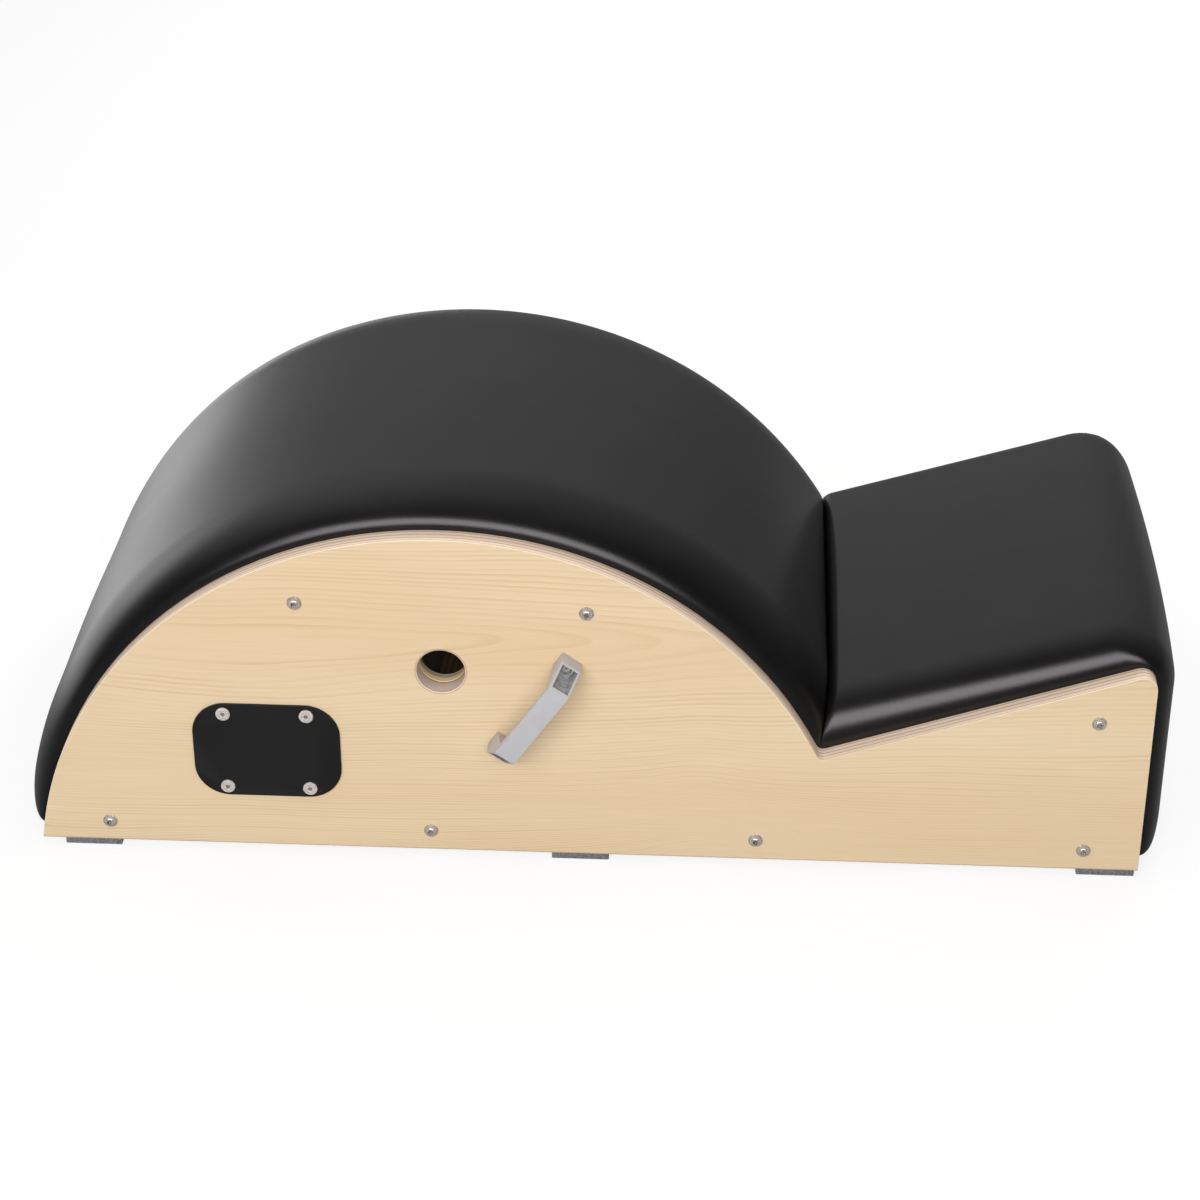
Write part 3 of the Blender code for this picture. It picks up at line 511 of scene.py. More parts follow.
def makePanels():
    material = veneerMaterial()
    rounds = ((True, panelLook["holeRound"], 3), (False, panelLook["edgeRound"], 2))
    for side in ("front", "rear"):
        panel = copyPiece(cadNodes[f"side_panel_{side}"], f"panel_{side}")
        for key in list(panel.keys()):
            del panel[key]
        panel.parent = None
        enterEdit(panel, action="SELECT")
        bpy.ops.mesh.remove_doubles(threshold=0.000005)
        bpy.ops.mesh.dissolve_limited(angle_limit=math.radians(0.4))
        bpy.ops.mesh.select_mode(type="EDGE")
        for nearHole, width, segments in rounds:
            bpy.ops.mesh.select_all(action="DESELECT")
            pick(panel, "edges", lambda edge: isRim(edge, nearHole))
            bpy.ops.mesh.bevel(offset=width, segments=segments, affect="EDGES")
        leaveEdit()
        smoothShade(panel, 32)
        # the two large faces stay flat, or the rounded holes would shade them
        for face in panel.data.polygons:
            face.use_smooth = abs(face.normal.y) < 0.9999
        dress(panel, material, "panel_wood", f"side_panel_{side}")
    # a second board behind each panel, which the grip hole goes through too
    depth = gripHole["blockDepth"]
    for side, sign in (("front", -1), ("rear", 1)):
        spot = (holeX, sign * (body["innerFace"] - depth / 2 - 0.00005), holeZ)
        block = addBox(f"gripBlock_{side}", spot, (gripHole["block"], depth, gripHole["block"]))
        cutWith(block, addCylinder(96, gripHole["radius"], 3 * depth, spot, sideways))
        roundEdges(block, 0.0006, 2, 60)
        smoothShade(block, 32)
        dress(block, material, "panel_wood")
    print("side panels ready")


# pads: taut leatherette over foam, drawn in to the panels' inner edges
padForm = {
    "barrelRoll": 0.0635,  # width of the rounded side
    "seatRoll": 0.036,
    "seatShoulder": 0.76,  # share of the height that the seat pad's rounded side reaches
    "crown": 0.001,
    "endRound": 0.032,
    "endLeast": 0.80,
    "barrelHeight": 0.0289,
    "flankHeight": 0.0245,
    "flankFrom": math.radians(109.0),
    "flankTo": math.radians(156.0),
    "barrelCrease": 0.006,
    "seatCreaseHeight": 0.046,
    "seatEndHeight": 0.0345,
    "seatSide": 0.0258,
    "seatCorner": 0.0620,
    "panelCorner": 0.012,
    "seatCrease": 0.009,
    "skin": 0.0012,
    "foamGap": 0.0010,
    "deckGap": 0.0005,
    "swell": 0.00022,  # slow unevenness of the foam
    "swellFade": 0.05,  # and over what distance it comes in from the rims
    "waves": (  # how it runs along and across the pad, where it starts, and its share
        (9.0, 4.0, 0.3, 1.0), (-14.0, 17.0, 1.9, 0.7), (23.0, 11.0, 4.1, 0.5),
        (6.0, -27.0, 2.6, 0.6), (41.0, 19.0, 5.0, 0.25),
    ),
}


def heading(angle):
    return np.array([math.cos(angle), math.sin(angle)])


# the outline that both pads rest on, from the barrel's middle and the panels' lower edge
centre = np.array([0.0, -body["barrelDrop"]])
valley = centre + body["barrelRadius"] * heading(math.pi / 2 - body["valleyLean"])
slope = heading(body["seatSlope"])
slopeUp = np.array([-slope[1], slope[0]])
crease = heading(body["creaseLean"])
creaseLeft = np.array([-crease[1], crease[0]])
seatCornerPoint = valley + slope * ((body["seatEnd"] - valley[0]) / slope[0])


def creaseAngle(radius, gap):
    start = valley + creaseLeft * gap - centre
    along = start @ crease
    found = start + crease * (-along + math.sqrt(along**2 - start @ start + radius**2))
    return math.atan2(found[1], found[0])


def creaseStation(height, gap):
    start = -creaseLeft * gap
    return float((start + crease * ((height - start @ slopeUp) / (crease @ slopeUp))) @ slope)


def endShare(distance, length, least):
    x = min(max(distance / length, 0.0), 1.0)
    return least + (1.0 - least) * math.sqrt(1.0 - (1.0 - x) ** 2)


def easeIn(count):
    # shares from 0 to just under 1, close together at 0, for an edge that starts upright
    return [1.0 - math.cos(i / count * math.pi / 2) for i in range(count)]


def barrelLines(lowerRadius, inset, detail):
    # three lines along the barrel: the pad's underside, its edge at the panel, and its top
    form = padForm
    radius = body["barrelRadius"]
    gap = body["fit"] / 2 + inset
    last = math.pi - math.asin((body["padFoot"] + body["barrelDrop"]) / radius) - inset / radius
    length = radius * (last - creaseAngle(radius, gap))
    middle = length - form["endRound"] - form["barrelCrease"]
    places = [form["barrelCrease"] * share for share in easeIn(detail["crease"])]
    places += [form["barrelCrease"] + middle * i / detail["run"] for i in range(detail["run"] + 1)]
    places += [length - form["endRound"] * share for share in reversed(easeIn(detail["end"]))]
    lower, edge, top = [], [], []
    for distance in places:
        share = distance / length
        near = endShare(distance, form["barrelCrease"], 1.0 - form["barrelCrease"] / form["barrelHeight"])
        far = endShare(length - distance, form["endRound"], form["endLeast"])
        angle = creaseAngle(radius, gap) + distance / radius
        x = min(max((angle - form["flankFrom"]) / (form["flankTo"] - form["flankFrom"]), 0.0), 1.0)
        drop = form["flankHeight"] - form["barrelHeight"]
        height = form["barrelHeight"] + drop * x * x * (3.0 - 2.0 * x)
        topRadius = radius + height * near * far - inset
        for line, size in ((lower, lowerRadius), (edge, radius), (top, topRadius)):
            first = creaseAngle(size, gap)
            line.append(centre + size * heading(first + (last - first) * share))
    return np.array(lower), np.array(edge), np.array(top)


def seatLine(startHeight, endHeight, side, radius, inset, detail):
    # from the crease along the slope, round the corner and down to the foot
    form = padForm
    first = valley + slope * creaseStation(startHeight, body["fit"] / 2 + inset) + slopeUp * startHeight
    direction = seatCornerPoint + slopeUp * endHeight - first
    direction = direction / np.linalg.norm(direction)
    lean = math.atan2(direction[1], direction[0])
    corner = first + direction * ((body["seatEnd"] + side - first[0]) / direction[0])
    middle = corner - direction * radius * math.tan((lean + math.pi / 2) / 2)
    middle = middle - radius * np.array([-direction[1], direction[0]])
    turns = np.linspace(lean + math.pi / 2, 0.0, detail["corner"] + 1)
    arc = [middle + radius * heading(turn) for turn in turns]
    run = arc[0] - first
    reach = np.linalg.norm(run)
    shares = [form["seatCrease"] / reach * share for share in easeIn(detail["crease"])]
    start = form["seatCrease"] / reach
    shares += [start + (1.0 - start) * i / detail["run"] for i in range(detail["run"])]
    points = [first + run * share for share in shares] + arc
    foot = body["padFoot"] + inset
    straight = arc[-1][1] - foot - form["endRound"]
    points += [arc[-1] - np.array([0.0, straight * (i + 1) / detail["down"]]) for i in range(detail["down"])]
    ends = reversed(easeIn(detail["end"]))
    points += [np.array([body["seatEnd"] + side, foot + form["endRound"] * share]) for share in ends]
    return np.array(points)


def seatLines(lowerDepth, inset, detail):
    form = padForm
    lowerRadius = max(form["panelCorner"] - lowerDepth, body["deckThickness"] / 4)
    lower = seatLine(-lowerDepth, -lowerDepth, -lowerDepth, lowerRadius, inset, detail)
    edge = seatLine(0.0, 0.0, 0.0, form["panelCorner"], inset, detail)
    full = seatLine(
        form["seatCreaseHeight"], form["seatEndHeight"], form["seatSide"], form["seatCorner"], inset, detail
    )
    least = 1.0 - form["seatCrease"] / form["seatCreaseHeight"]
    top = []
    for low, high in zip(edge, full):
        near = endShare(np.linalg.norm(high - full[0]), form["seatCrease"], least)
        besideEnd = high[0] > body["seatEnd"] + form["seatSide"] - 0.0003
        aboveFoot = high[1] - full[-1][1] if besideEnd else form["endRound"]
        far = endShare(aboveFoot, form["endRound"], form["endLeast"])
        rise = (high - low) * near * far
        top.append(low + rise - rise / np.linalg.norm(rise) * inset)
    return lower, edge, np.array(top)


def padPoints(lines, width, shoulder, inset, detail):
    # a grid over the pad: down its length by rows, and from side to side by columns
    form = padForm
    lower, edge, top = lines
    side = body["innerFace"] - body["fit"] - inset
    roll = width - inset
    half = [(side, share, None) for share in np.linspace(0.0, 1.0, detail["side"] + 1)[:-1]]
    for turn in np.linspace(0.0, math.pi / 2, detail["roll"] + 1):
        half.append((side - roll * (1.0 - math.cos(turn)), 1.0, math.sin(turn)))
    half += [((side - roll) * (1.0 - i / detail["flat"]), 1.0, 1.0) for i in range(1, detail["flat"])]
    ring = [(-y, wall, rise) for y, wall, rise in half] + [(0.0, 1.0, 1.0)] + half[::-1]
    points = np.zeros((len(edge), len(ring), 3))
    up = (top - edge) / np.linalg.norm(top - edge, axis=1)[:, None]
    for column, (y, wall, rise) in enumerate(ring):
        if rise is None:
            spot = lower + (edge - lower) * wall
        else:
            spot = edge + (top - edge) * (shoulder * rise + (1.0 - shoulder) * (1.0 - (y / side) ** 2))
            bulge = 0.5 + 0.5 * math.cos(math.pi * min(abs(y) / (side - roll), 1.0))
            spot = spot + up * form["crown"] * rise * bulge
        points[:, column, 0] = spot[:, 0] + barrelX
        points[:, column, 1] = y
        points[:, column, 2] = spot[:, 1] + body["base"]
    return points


def lengthAlong(line):
    steps = np.linalg.norm(np.diff(line, axis=0), axis=1)
    return np.concatenate([[0.0], np.cumsum(steps)])


def swell(points):
    # slow, fixed unevenness over the top only, as hand-laid foam has
    along = lengthAlong(points[:, points.shape[1] // 2])
    u = along[:, None]
    v = points[:, :, 1]
    total = sum(size * np.sin(a * u + b * v + shift) for a, b, shift, size in padForm["waves"])
    fade = padForm["swellFade"]
    inside = np.clip((body["innerFace"] - np.abs(v)) / fade, 0.0, 1.0)
    ends = np.clip(np.minimum(u, along[-1] - u) / fade, 0.0, 1.0)
    ease = inside * inside * ends * ends
    across = np.gradient(points, axis=1)
    down = np.gradient(points, axis=0)
    normal = np.cross(across, down)
    normal /= np.maximum(np.linalg.norm(normal, axis=2, keepdims=True), 1e-9)
    outwards = np.sign((normal[:, :, 2:3]).sum())
    return points + normal * outwards * (total * ease)[:, :, None] * padForm["swell"]


def formSheet(name, points, closed):
    # a grid whose rows follow the pad's length, moved point by point to the pad's form
    rows, columns = points.shape[:2]
    selectNone()
    bpy.ops.mesh.primitive_grid_add(
        x_subdivisions=columns - 1, y_subdivisions=rows - 1, size=1.0, location=(0, 0, 0)
    )
    sheet = named(name)
    mesh = sheet.data
    spots = np.empty(len(mesh.vertices) * 3)
    mesh.vertices.foreach_get("co", spots)
    spots = spots.reshape(-1, 3)
    column = np.rint((spots[:, 0] + 0.5) * (columns - 1)).astype(int)
    row = np.rint((spots[:, 1] + 0.5) * (rows - 1)).astype(int)
    mesh.vertices.foreach_set("co", points[row, column].reshape(-1))
    along = lengthAlong(points[:, columns // 2])
    across = lengthAlong(points[rows // 2])
    loops = np.empty(len(mesh.loops), int)
    mesh.loops.foreach_get("vertex_index", loops)
    uv = np.stack([along[row[loops]], across[column[loops]]], axis=1)
    mesh.uv_layers.active.data.foreach_set("uv", uv.reshape(-1))
    mesh.update()
    if closed:
        enterEdit(sheet, "VERT", "SELECT")
        bpy.ops.mesh.remove_doubles(threshold=0.000002)
        leaveEdit()
    for end in (0, rows - 1):
        enterEdit(sheet, "EDGE")
        rim = {tuple(np.round(spot, 6)) for spot in points[end]}

        def onRim(edge):
            spots = (tuple(np.round(np.array(vert.co), 6)) for vert in edge.verts)
            return edge.is_boundary and all(spot in rim for spot in spots)

        pick(sheet, "edges", onRim)
        bpy.ops.mesh.edge_face_add()
        leaveEdit()
    fixNormals(sheet)
    return sheet


leatherLook = {
    "deep": (0.0032, 0.0031, 0.0031, 1.0),
    "worn": (0.0055, 0.0053, 0.0053, 1.0),
    "sheen": (1.0, 0.955, 0.975, 1.0),  # a trace of warmth in what it mirrors
    "roughness": 0.26,
    "grain": 950.0,  # cells in a metre
    "grainDepth": 0.00004,
}


def leatheretteMaterial():
    look = leatherLook
    material, tree, shader = newMaterial("charcoalLeatherette", look["roughness"])
    place = objectPoint(tree)
    flat = mapPoint(tree)
    pebble = cells(tree, flat, look["grain"])
    creases = cells(tree, flat, look["grain"] * 0.8, "DISTANCE_TO_EDGE")
    fine = noise(tree, place, 2600.0, 2.0, 0.6, 1.0)
    relief = minus(tree, times(tree, sweep(tree, creases, 0.0, 0.25), 0.8), times(tree, pebble, 0.5))
    relief = plus(tree, relief, times(tree, fine, 0.25))
    drag = noise(tree, flat, (8.0, 40.0, 1.0), 2.0, 0.5, 4.0)
    cloudy = noise(tree, place, 16.0, 3.0, 0.55, 7.0)
    share = plus(tree, times(tree, drag, 0.4), times(tree, cloudy, 0.6))
    tone = tinted(tree, look["deep"], look["worn"], share, 0.38, 0.64)
    rough = plus(tree, look["roughness"] - 0.03, times(tree, share, 0.06))
    paint(tree, shader, tone, bump(tree, relief, look["grainDepth"], 0.4), rough)
    shader.inputs["Specular Tint"].default_value = look["sheen"]
    return material


foamLook = {"cream": colour(226, 219, 196), "shade": colour(186, 176, 148), "poreScale": 900.0}


def foamMaterial():
    look = foamLook
    material, tree, shader = newMaterial("paddingFoam", 0.95)
    place = objectPoint(tree)
    pores = cells(tree, place, look["poreScale"], "DISTANCE_TO_EDGE")
    cloudy = noise(tree, place, 60.0, 3.0, 0.6, 2.0)
    tone = blendColour(tree, sweep(tree, pores, 0.0, 0.12, 1.0, 0.0), look["cream"], look["shade"])
    tone = tinted(tree, tone, look["shade"], cloudy, 0.35, 0.7, 0.4)
    paint(tree, shader, tone, bump(tree, pores, 0.0004, 0.6))
    return material


# steps of each pad's grid: down its length, then from side to side
padDetail = {
    "crease": 12, "run": 132, "seatRun": 54, "corner": 40, "down": 24, "end": 18,
    "side": 3, "roll": 30, "flat": 14,
}
foamDetail = {
    "crease": 5, "run": 44, "seatRun": 18, "corner": 14, "down": 8, "end": 8,
    "side": 1, "roll": 10, "flat": 5,
}


def padShapes(barrelFloor, seatFloor, inset, detail):
    form = padForm
    barrel = barrelLines(barrelFloor, inset, detail)
    seat = seatLines(seatFloor, inset, dict(detail, run=detail["seatRun"]))
    return (
        ("barrel", padPoints(barrel, form["barrelRoll"], 1.0, inset, detail)),
        ("seat", padPoints(seat, form["seatRoll"], form["seatShoulder"], inset, detail)),
    )


def makePads():
    form = padForm
    leather = leatheretteMaterial()
    foam = foamMaterial()
    for name, points in padShapes(body["deckInner"], body["seatDeckDepth"], 0.0, padDetail):
        cover = formSheet(f"{name}Cover", swell(points), False)
        shell = cover.modifiers.new("skin", "SOLIDIFY")
        shell.thickness = form["skin"]
        shell.offset = -1.0
        shell.use_even_offset = True
        applyModifiers(cover)
        smoothShade(cover, 50)
        dress(cover, leather, "leatherette", f"{name}_cover")
        print("cover", cover.name, len(cover.data.polygons), "faces")
    inset = form["skin"] + form["foamGap"]
    barrelFloor = body["deckInner"] + body["deckThickness"] + form["deckGap"]
    seatFloor = body["seatDeckDepth"] - body["deckThickness"] - form["deckGap"]
    for name, points in padShapes(barrelFloor, seatFloor, inset, foamDetail):
        # the first column once more, so that the foam closes round its underside
        points = np.concatenate([points, points[:, :1]], axis=1)
        block = formSheet(f"{name}Foam", points, True)
        smoothShade(block, 50)
        dress(block, foam, "foam", f"{name}_foam")
    print("pads ready")


# bolts and screws: turned on a circle, step by step, with a hexagonal socket
boltForm = {
    "outline": (  # radius and height above the underside of the head
        (0.0062, 0.0009), (0.0059, 0.0012), (0.0052, 0.0012), (0.0050, 0.0016),
        (0.0048, 0.0025), (0.0043, 0.0034), (0.0036, 0.0040), (0.0029, 0.0042),
    ),
    "socketFlats": 0.0040,
    "socketDepth": 0.0024,
    "shankRadius": 0.0030,
    "shankLength": 0.0300,
    "sides": 48,
}
plateScrewForm = {
    "outline": (
        (0.0062, 0.0012), (0.0060, 0.0015), (0.0057, 0.0016),
        (0.0032, 0.0016), (0.0030, 0.0014), (0.0028, 0.0014),
    ),
    "socketFlats": 0.0036,
    "socketDepth": 0.0012,
    "shankRadius": 0.0025,
    "shankLength": 0.0146,
    "sides": 48,
}
handleScrewForm = {
    "outline": ((0.0038, 0.0008), (0.0037, 0.0014), (0.0033, 0.0020), (0.0027, 0.0024), (0.0022, 0.0025)),
    "socketFlats": 0.0025,
    "socketDepth": 0.0014,
    "shankRadius": 0.0020,
    "shankLength": 0.0166,
    "sides": 32,
}
steelLook = {
    "bright": (0.84, 0.79, 0.76, 1.0),
    "dull": (0.50, 0.46, 0.43, 1.0),
    "roughness": 0.24,
    "metal": 0.64,
    "groove": 0.80,  # as a share of the head's radius
    "socket": 0.38,
}
satinLook = {
    "bright": (0.80, 0.75, 0.72, 1.0),
    "dull": (0.50, 0.45, 0.41, 1.0),
    "roughness": 0.50,
    "metal": 0.22,
    "groove": 0.62,
    "socket": 0.34,
}
# painted shade inside the hex sockets
socketShade = (0.16, 0.14, 0.13, 1.0)


def steelMaterial(name, look):
    material, tree, shader = newMaterial(name, look["roughness"], look["metal"])
    flat = mapPoint(tree)
    length = tree.nodes.new("ShaderNodeVectorMath")
    length.operation = "LENGTH"
    feed(tree, length.inputs[0], flat)
    radius = length.outputs["Value"]
    # painted shade: a darker ring at the groove, which the bump also presses in
    groove = calc(tree, "ABSOLUTE", minus(tree, radius, look["groove"]))
    groove = sweep(tree, groove, 0.02, 0.09, 1.0, 0.0)
    # painted shade: the socket's recess drawn darker
    inSocket = sweep(tree, radius, look["socket"] - 0.05, look["socket"], 1.0, 0.0)
    marks = noise(tree, alongLine(tree, radius), 90.0, 3.0, 0.7, 2.0)
    smear = noise(tree, flat, (3.0, 3.0, 3.0), 3.0, 0.6, 5.0)
    tone = tinted(tree, look["bright"], look["dull"], smear, 0.35, 0.7)
    tone = blendColour(tree, times(tree, groove, 0.6), tone, look["dull"])
    tone = blendColour(tree, times(tree, inSocket, 0.8), tone, socketShade)
    rough = plus(tree, look["roughness"] - 0.06, times(tree, marks, 0.16))
    paint(tree, shader, tone, bump(tree, minus(tree, marks, groove), 0.00003, 0.5), rough)
    return material


def turnScrew(name, form):
    selectNone()
    radius = form["outline"][0][0]
    bpy.ops.mesh.primitive_circle_add(
        vertices=form["sides"], radius=radius, fill_type="NGON", location=(0, 0, 0)
    )
    screw = named(name)
    enterEdit(screw, action="SELECT")
    size, height = radius, 0.0
    for nextSize, nextHeight in form["outline"]:
        pullOut((0, 0, nextHeight - height))
        scaleFlat(nextSize / size, nextHeight)
        size, height = nextSize, nextHeight
    bpy.ops.mesh.select_all(action="DESELECT")
    pick(screw, "faces", lambda face: abs(face.calc_center_median().z) < 1e-6 and abs(face.normal.z) > 0.9)
    pullOut((0, 0, 0))
    scaleFlat(form["shankRadius"] / radius, 0.0)
    pullOut((0, 0, -form["shankLength"]))
    leaveEdit()
    fixNormals(screw)
    corner = form["socketFlats"] / math.sqrt(3.0)
    cutWith(screw, addCylinder(6, corner, 2 * form["socketDepth"], (0, 0, height)))
    smoothShade(screw, 38)
    uv = screw.data.uv_layers.active or screw.data.uv_layers.new(name="headPlane")
    for loop in screw.data.loops:
        spot = screw.data.vertices[loop.vertex_index].co
        uv.data[loop.index].uv = (spot.x / radius, spot.y / radius)
    return screw


def placeScrews(form, material, spots):
    master = turnScrew("screwMaster", form)
    for name, node, face, turn in spots:
        # face is where the underside of the head lies; a positive face is on the rear side
        screw = copyPiece(master, name)
        low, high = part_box(node)
        spot = (low + high) / 2
        lean = -math.pi / 2 if face > 0 else math.pi / 2
        turned = Matrix.Rotation(lean, 4, "X") @ Matrix.Rotation(turn, 4, "Z")
        screw.matrix_world = Matrix.Translation((spot.x, face, spot.z)) @ turned
        applyPlace(screw)
        dress(screw, material, "stainless_steel", node)
    bpy.data.objects.remove(master)


def makeScrews():
    steel = steelMaterial("turnedSteel", steelLook)
    satin = steelMaterial("satinSteel", satinLook)
    sides = (("front", -1), ("rear", 1))
    panelFace = body["panelFace"] + body["fit"]
    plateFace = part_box("blank_plate")[0].y - body["fit"]
    pocketFace = body["panelFace"] + handleForm["pocketFloor"] + 2 * body["fit"]
    placeScrews(boltForm, steel, [
        (f"panelBolt_{side}_{number}", f"panel_bolt_{side}_{number}", sign * panelFace, 0.7 * number)
        for side, sign in sides for number in range(1, 8)
    ])
    placeScrews(plateScrewForm, satin, [
        (f"plateScrew_{number}", f"plate_screw_{number}", plateFace, 0.5 + 1.1 * number)
        for number in range(1, 5)
    ])
    placeScrews(handleScrewForm, satin, [
        (f"handleScrew_{side}_{end}", f"handle_screw_{side}_{end}", sign * pocketFace, 0.3)
        for side, sign in sides for end in ("upper", "lower")
    ])
    print("bolts and screws ready")


# bow handle: a cast strip with two splayed legs, hollowed where the screws sit
handleForm = {
    "angle": math.radians(55.0),
    "length": 0.113,
    "flatLength": 0.082,
    "width": 0.019,
    "standoff": 0.036,
    "bar": 0.006,
    "underLength": 0.068,
    "footLength": 0.014,
    "shoulder": 0.015,
    "wall": 0.0019,
    "cavity": (  # the leg's hollow along the bow and out from the panel, open through its sloping face
        (0.0462, 0.0374), (0.0595, 0.0193), (0.0553, 0.0162), (0.0547, 0.0040),
        (0.0437, 0.0040), (0.0402, 0.0160), (0.0383, 0.0250), (0.0422, 0.0344),
    ),
    "bossRadius": 0.0064,
    "bossHeight": 0.0088,
    "holeSpacing": 0.096,
    "holeRadius": 0.0023,
    "pocketFloor": 0.004,
    "pocketRadius": 0.0049,
    "edge": 0.0006,
}
castLook = {
    "grey": colour(193, 192, 195),
    "shade": colour(188, 186, 188),
    # the legs' hollows: metal left unpainted inside, drawn darker as painted shade
    "bare": colour(186, 185, 185),
    "hollowShade": colour(146, 145, 145),
    "roughness": 0.44,
}


def castMaterial():
    look = castLook
    material, tree, shader = newMaterial("paintedCasting", look["roughness"])
    place = objectPoint(tree)
    peel = noise(tree, place, 900.0, 2.0, 0.5, 1.0)
    cloudy = noise(tree, place, 70.0, 3.0, 0.6, 3.0)
    flecks = noise(tree, place, 2400.0, 1.0, 0.5, 6.0)
    tone = tinted(tree, look["grey"], look["shade"], cloudy, 0.3, 0.75)
    tone = tinted(tree, tone, look["shade"], flecks, 0.62, 0.72, 0.18)
    blotches = noise(tree, place, 320.0, 3.0, 0.6, 9.0)
    bare = tinted(tree, look["bare"], look["hollowShade"], blotches, 0.35, 0.65)
    # painted shade in the legs' hollows, over the colour of metal left unpainted there
    hollow = tree.nodes.new("ShaderNodeAttribute")
    hollow.attribute_name = "hollow"
    tone = blendColour(tree, hollow.outputs["Fac"], tone, bare)
    rough = plus(tree, look["roughness"] - 0.04, times(tree, cloudy, 0.08))
    paint(tree, shader, tone, bump(tree, peel, 0.00003, 0.2), rough)
    return material


def inside(outline, x, z):
    # counts how often a line to the right crosses the outline
    crossings = 0
    for (x1, z1), (x2, z2) in zip(outline, outline[1:] + outline[:1]):
        if (z1 > z) != (z2 > z) and x < x1 + (x2 - x1) * (z - z1) / (z2 - z1):
            crossings += 1
    return crossings % 2 == 1


def markHollows(bow):
    # a value on each face, 1 in the legs' hollows, where shade is painted
    form = handleForm
    middle = np.mean(form["cavity"], axis=0)
    outline = [tuple(middle + (np.array(corner) - middle) * 1.03) for corner in form["cavity"]]
    run = form["length"] / 2 - form["flatLength"] / 2
    fall = form["standoff"] - form["shoulder"]
    marks = bow.data.attributes.new("hollow", "FLOAT", "FACE")
    for face in bow.data.polygons:
        x, y, z = face.center
        # the rim of the open face, which slopes from the bar's end to the foot, stays painted
        above = (abs(x) - form["flatLength"] / 2) * fall + (z - form["standoff"]) * run
        sunk = above < -0.0006 * math.hypot(run, fall)
        within = abs(y) < form["width"] / 2 - form["wall"] + 0.0002
        marks.data[face.index].value = 1.0 if sunk and within and inside(outline, abs(x), z) else 0.0


def bendLeg(bow, end):
    # the leg grows from the bar's end: first to the shoulder, then straight down to the foot
    form = handleForm
    under = form["standoff"] - form["bar"]
    barInner = form["underLength"] / 2
    outer = form["length"] / 2
    footInner = outer - form["footLength"]
    shoulderInner = barInner + (footInner - barInner) * (1.0 - form["shoulder"] / under)
    barEnd = form["flatLength"] / 2 - 0.001
    enterEdit(bow)
    pick(bow, "faces", lambda face: face.normal.x * end > 0.9 and face.calc_center_median().x * end > barEnd)
    mesh = bmesh.from_edit_mesh(bow.data)
    for vert in mesh.verts:
        if vert.select and vert.co.z < under + 1e-5:
            vert.co.x = end * barInner
    bmesh.update_edit_mesh(bow.data)
    for inner, height in ((shoulderInner, form["shoulder"]), (footInner, 0.0)):
        bpy.ops.mesh.extrude_region_move()
        mesh = bmesh.from_edit_mesh(bow.data)
        chosen = [vert for vert in mesh.verts if vert.select]
        reach = [abs(vert.co.x) for vert in chosen]
        split = (min(reach) + max(reach)) / 2
        for vert in chosen:
            vert.co.x = end * (outer if abs(vert.co.x) > split else inner)
            vert.co.z = height
        bmesh.update_edit_mesh(bow.data)
    leaveEdit()


def hollowLeg(bow, end):
    # the leg is hollow down to its foot, with a boss round the screw
    form = handleForm
    selectNone()
    width = form["width"] / 2 - form["wall"]
    bpy.ops.mesh.primitive_circle_add(
        vertices=len(form["cavity"]), radius=0.01, fill_type="NGON", location=(0, 0, 0)
    )
    hollow = named("legHollow")
    for vert, (x, z) in zip(hollow.data.vertices, form["cavity"]):
        vert.co = (end * x, -width, z)
    enterEdit(hollow, action="SELECT")
    pullOut((0, 2 * width, 0))
    leaveEdit()
    fixNormals(hollow)

    def bore(piece, radius, low, high):
        spot = (end * form["holeSpacing"] / 2, 0, (low + high) / 2)
        cutWith(piece, addCylinder(40, radius, high - low, spot))

    bore(hollow, form["bossRadius"], 0.0, form["bossHeight"])
    cutWith(bow, hollow)
    bore(bow, form["pocketRadius"], form["pocketFloor"], form["bossHeight"] + 0.002)
    bore(bow, form["holeRadius"], -0.01, 2 * form["pocketFloor"])


def makeHandles():
    form = handleForm
    barMiddle = (0, 0, form["standoff"] - form["bar"] / 2)
    bow = addBox("bowMaster", barMiddle, (form["flatLength"], form["width"], form["bar"]))
    for end in (1, -1):
        bendLeg(bow, end)
    fixNormals(bow)
    for end in (1, -1):
        hollowLeg(bow, end)
    roundEdges(bow, form["edge"], 3, 28)
    smoothShade(bow, 40)
    markHollows(bow)
    material = castMaterial()
    along = Vector((math.cos(form["angle"]), 0.0, math.sin(form["angle"])))
    for side, sign in (("front", -1.0), ("rear", 1.0)):
        out = Vector((0.0, sign, 0.0))
        turn = Matrix((along, out.cross(along), out)).transposed().to_4x4()
        low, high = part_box(f"handle_{side}")
        spot = (low + high) / 2
        spot.y = sign * (body["panelFace"] + body["fit"])
        handle = copyPiece(bow, f"bowHandle_{side}")
        handle.matrix_world = Matrix.Translation(spot) @ turn
        applyPlace(handle)
        dress(handle, material, "cast_metal", f"handle_{side}")
    bpy.data.objects.remove(bow)
    print("handles ready")


# black plate, left bare
plateForm = {
    "width": 0.128,
    "height": 0.093,
    "thickness": 0.002,
    "corner": 0.030,
    "edge": 0.00045,
    "holeRadius": 0.0028,
}
plateLook = {
    "black": (0.0100, 0.0096, 0.0096, 1.0),
    "rubbed": (0.022, 0.021, 0.021, 1.0),
    "roughness": 0.50,
}


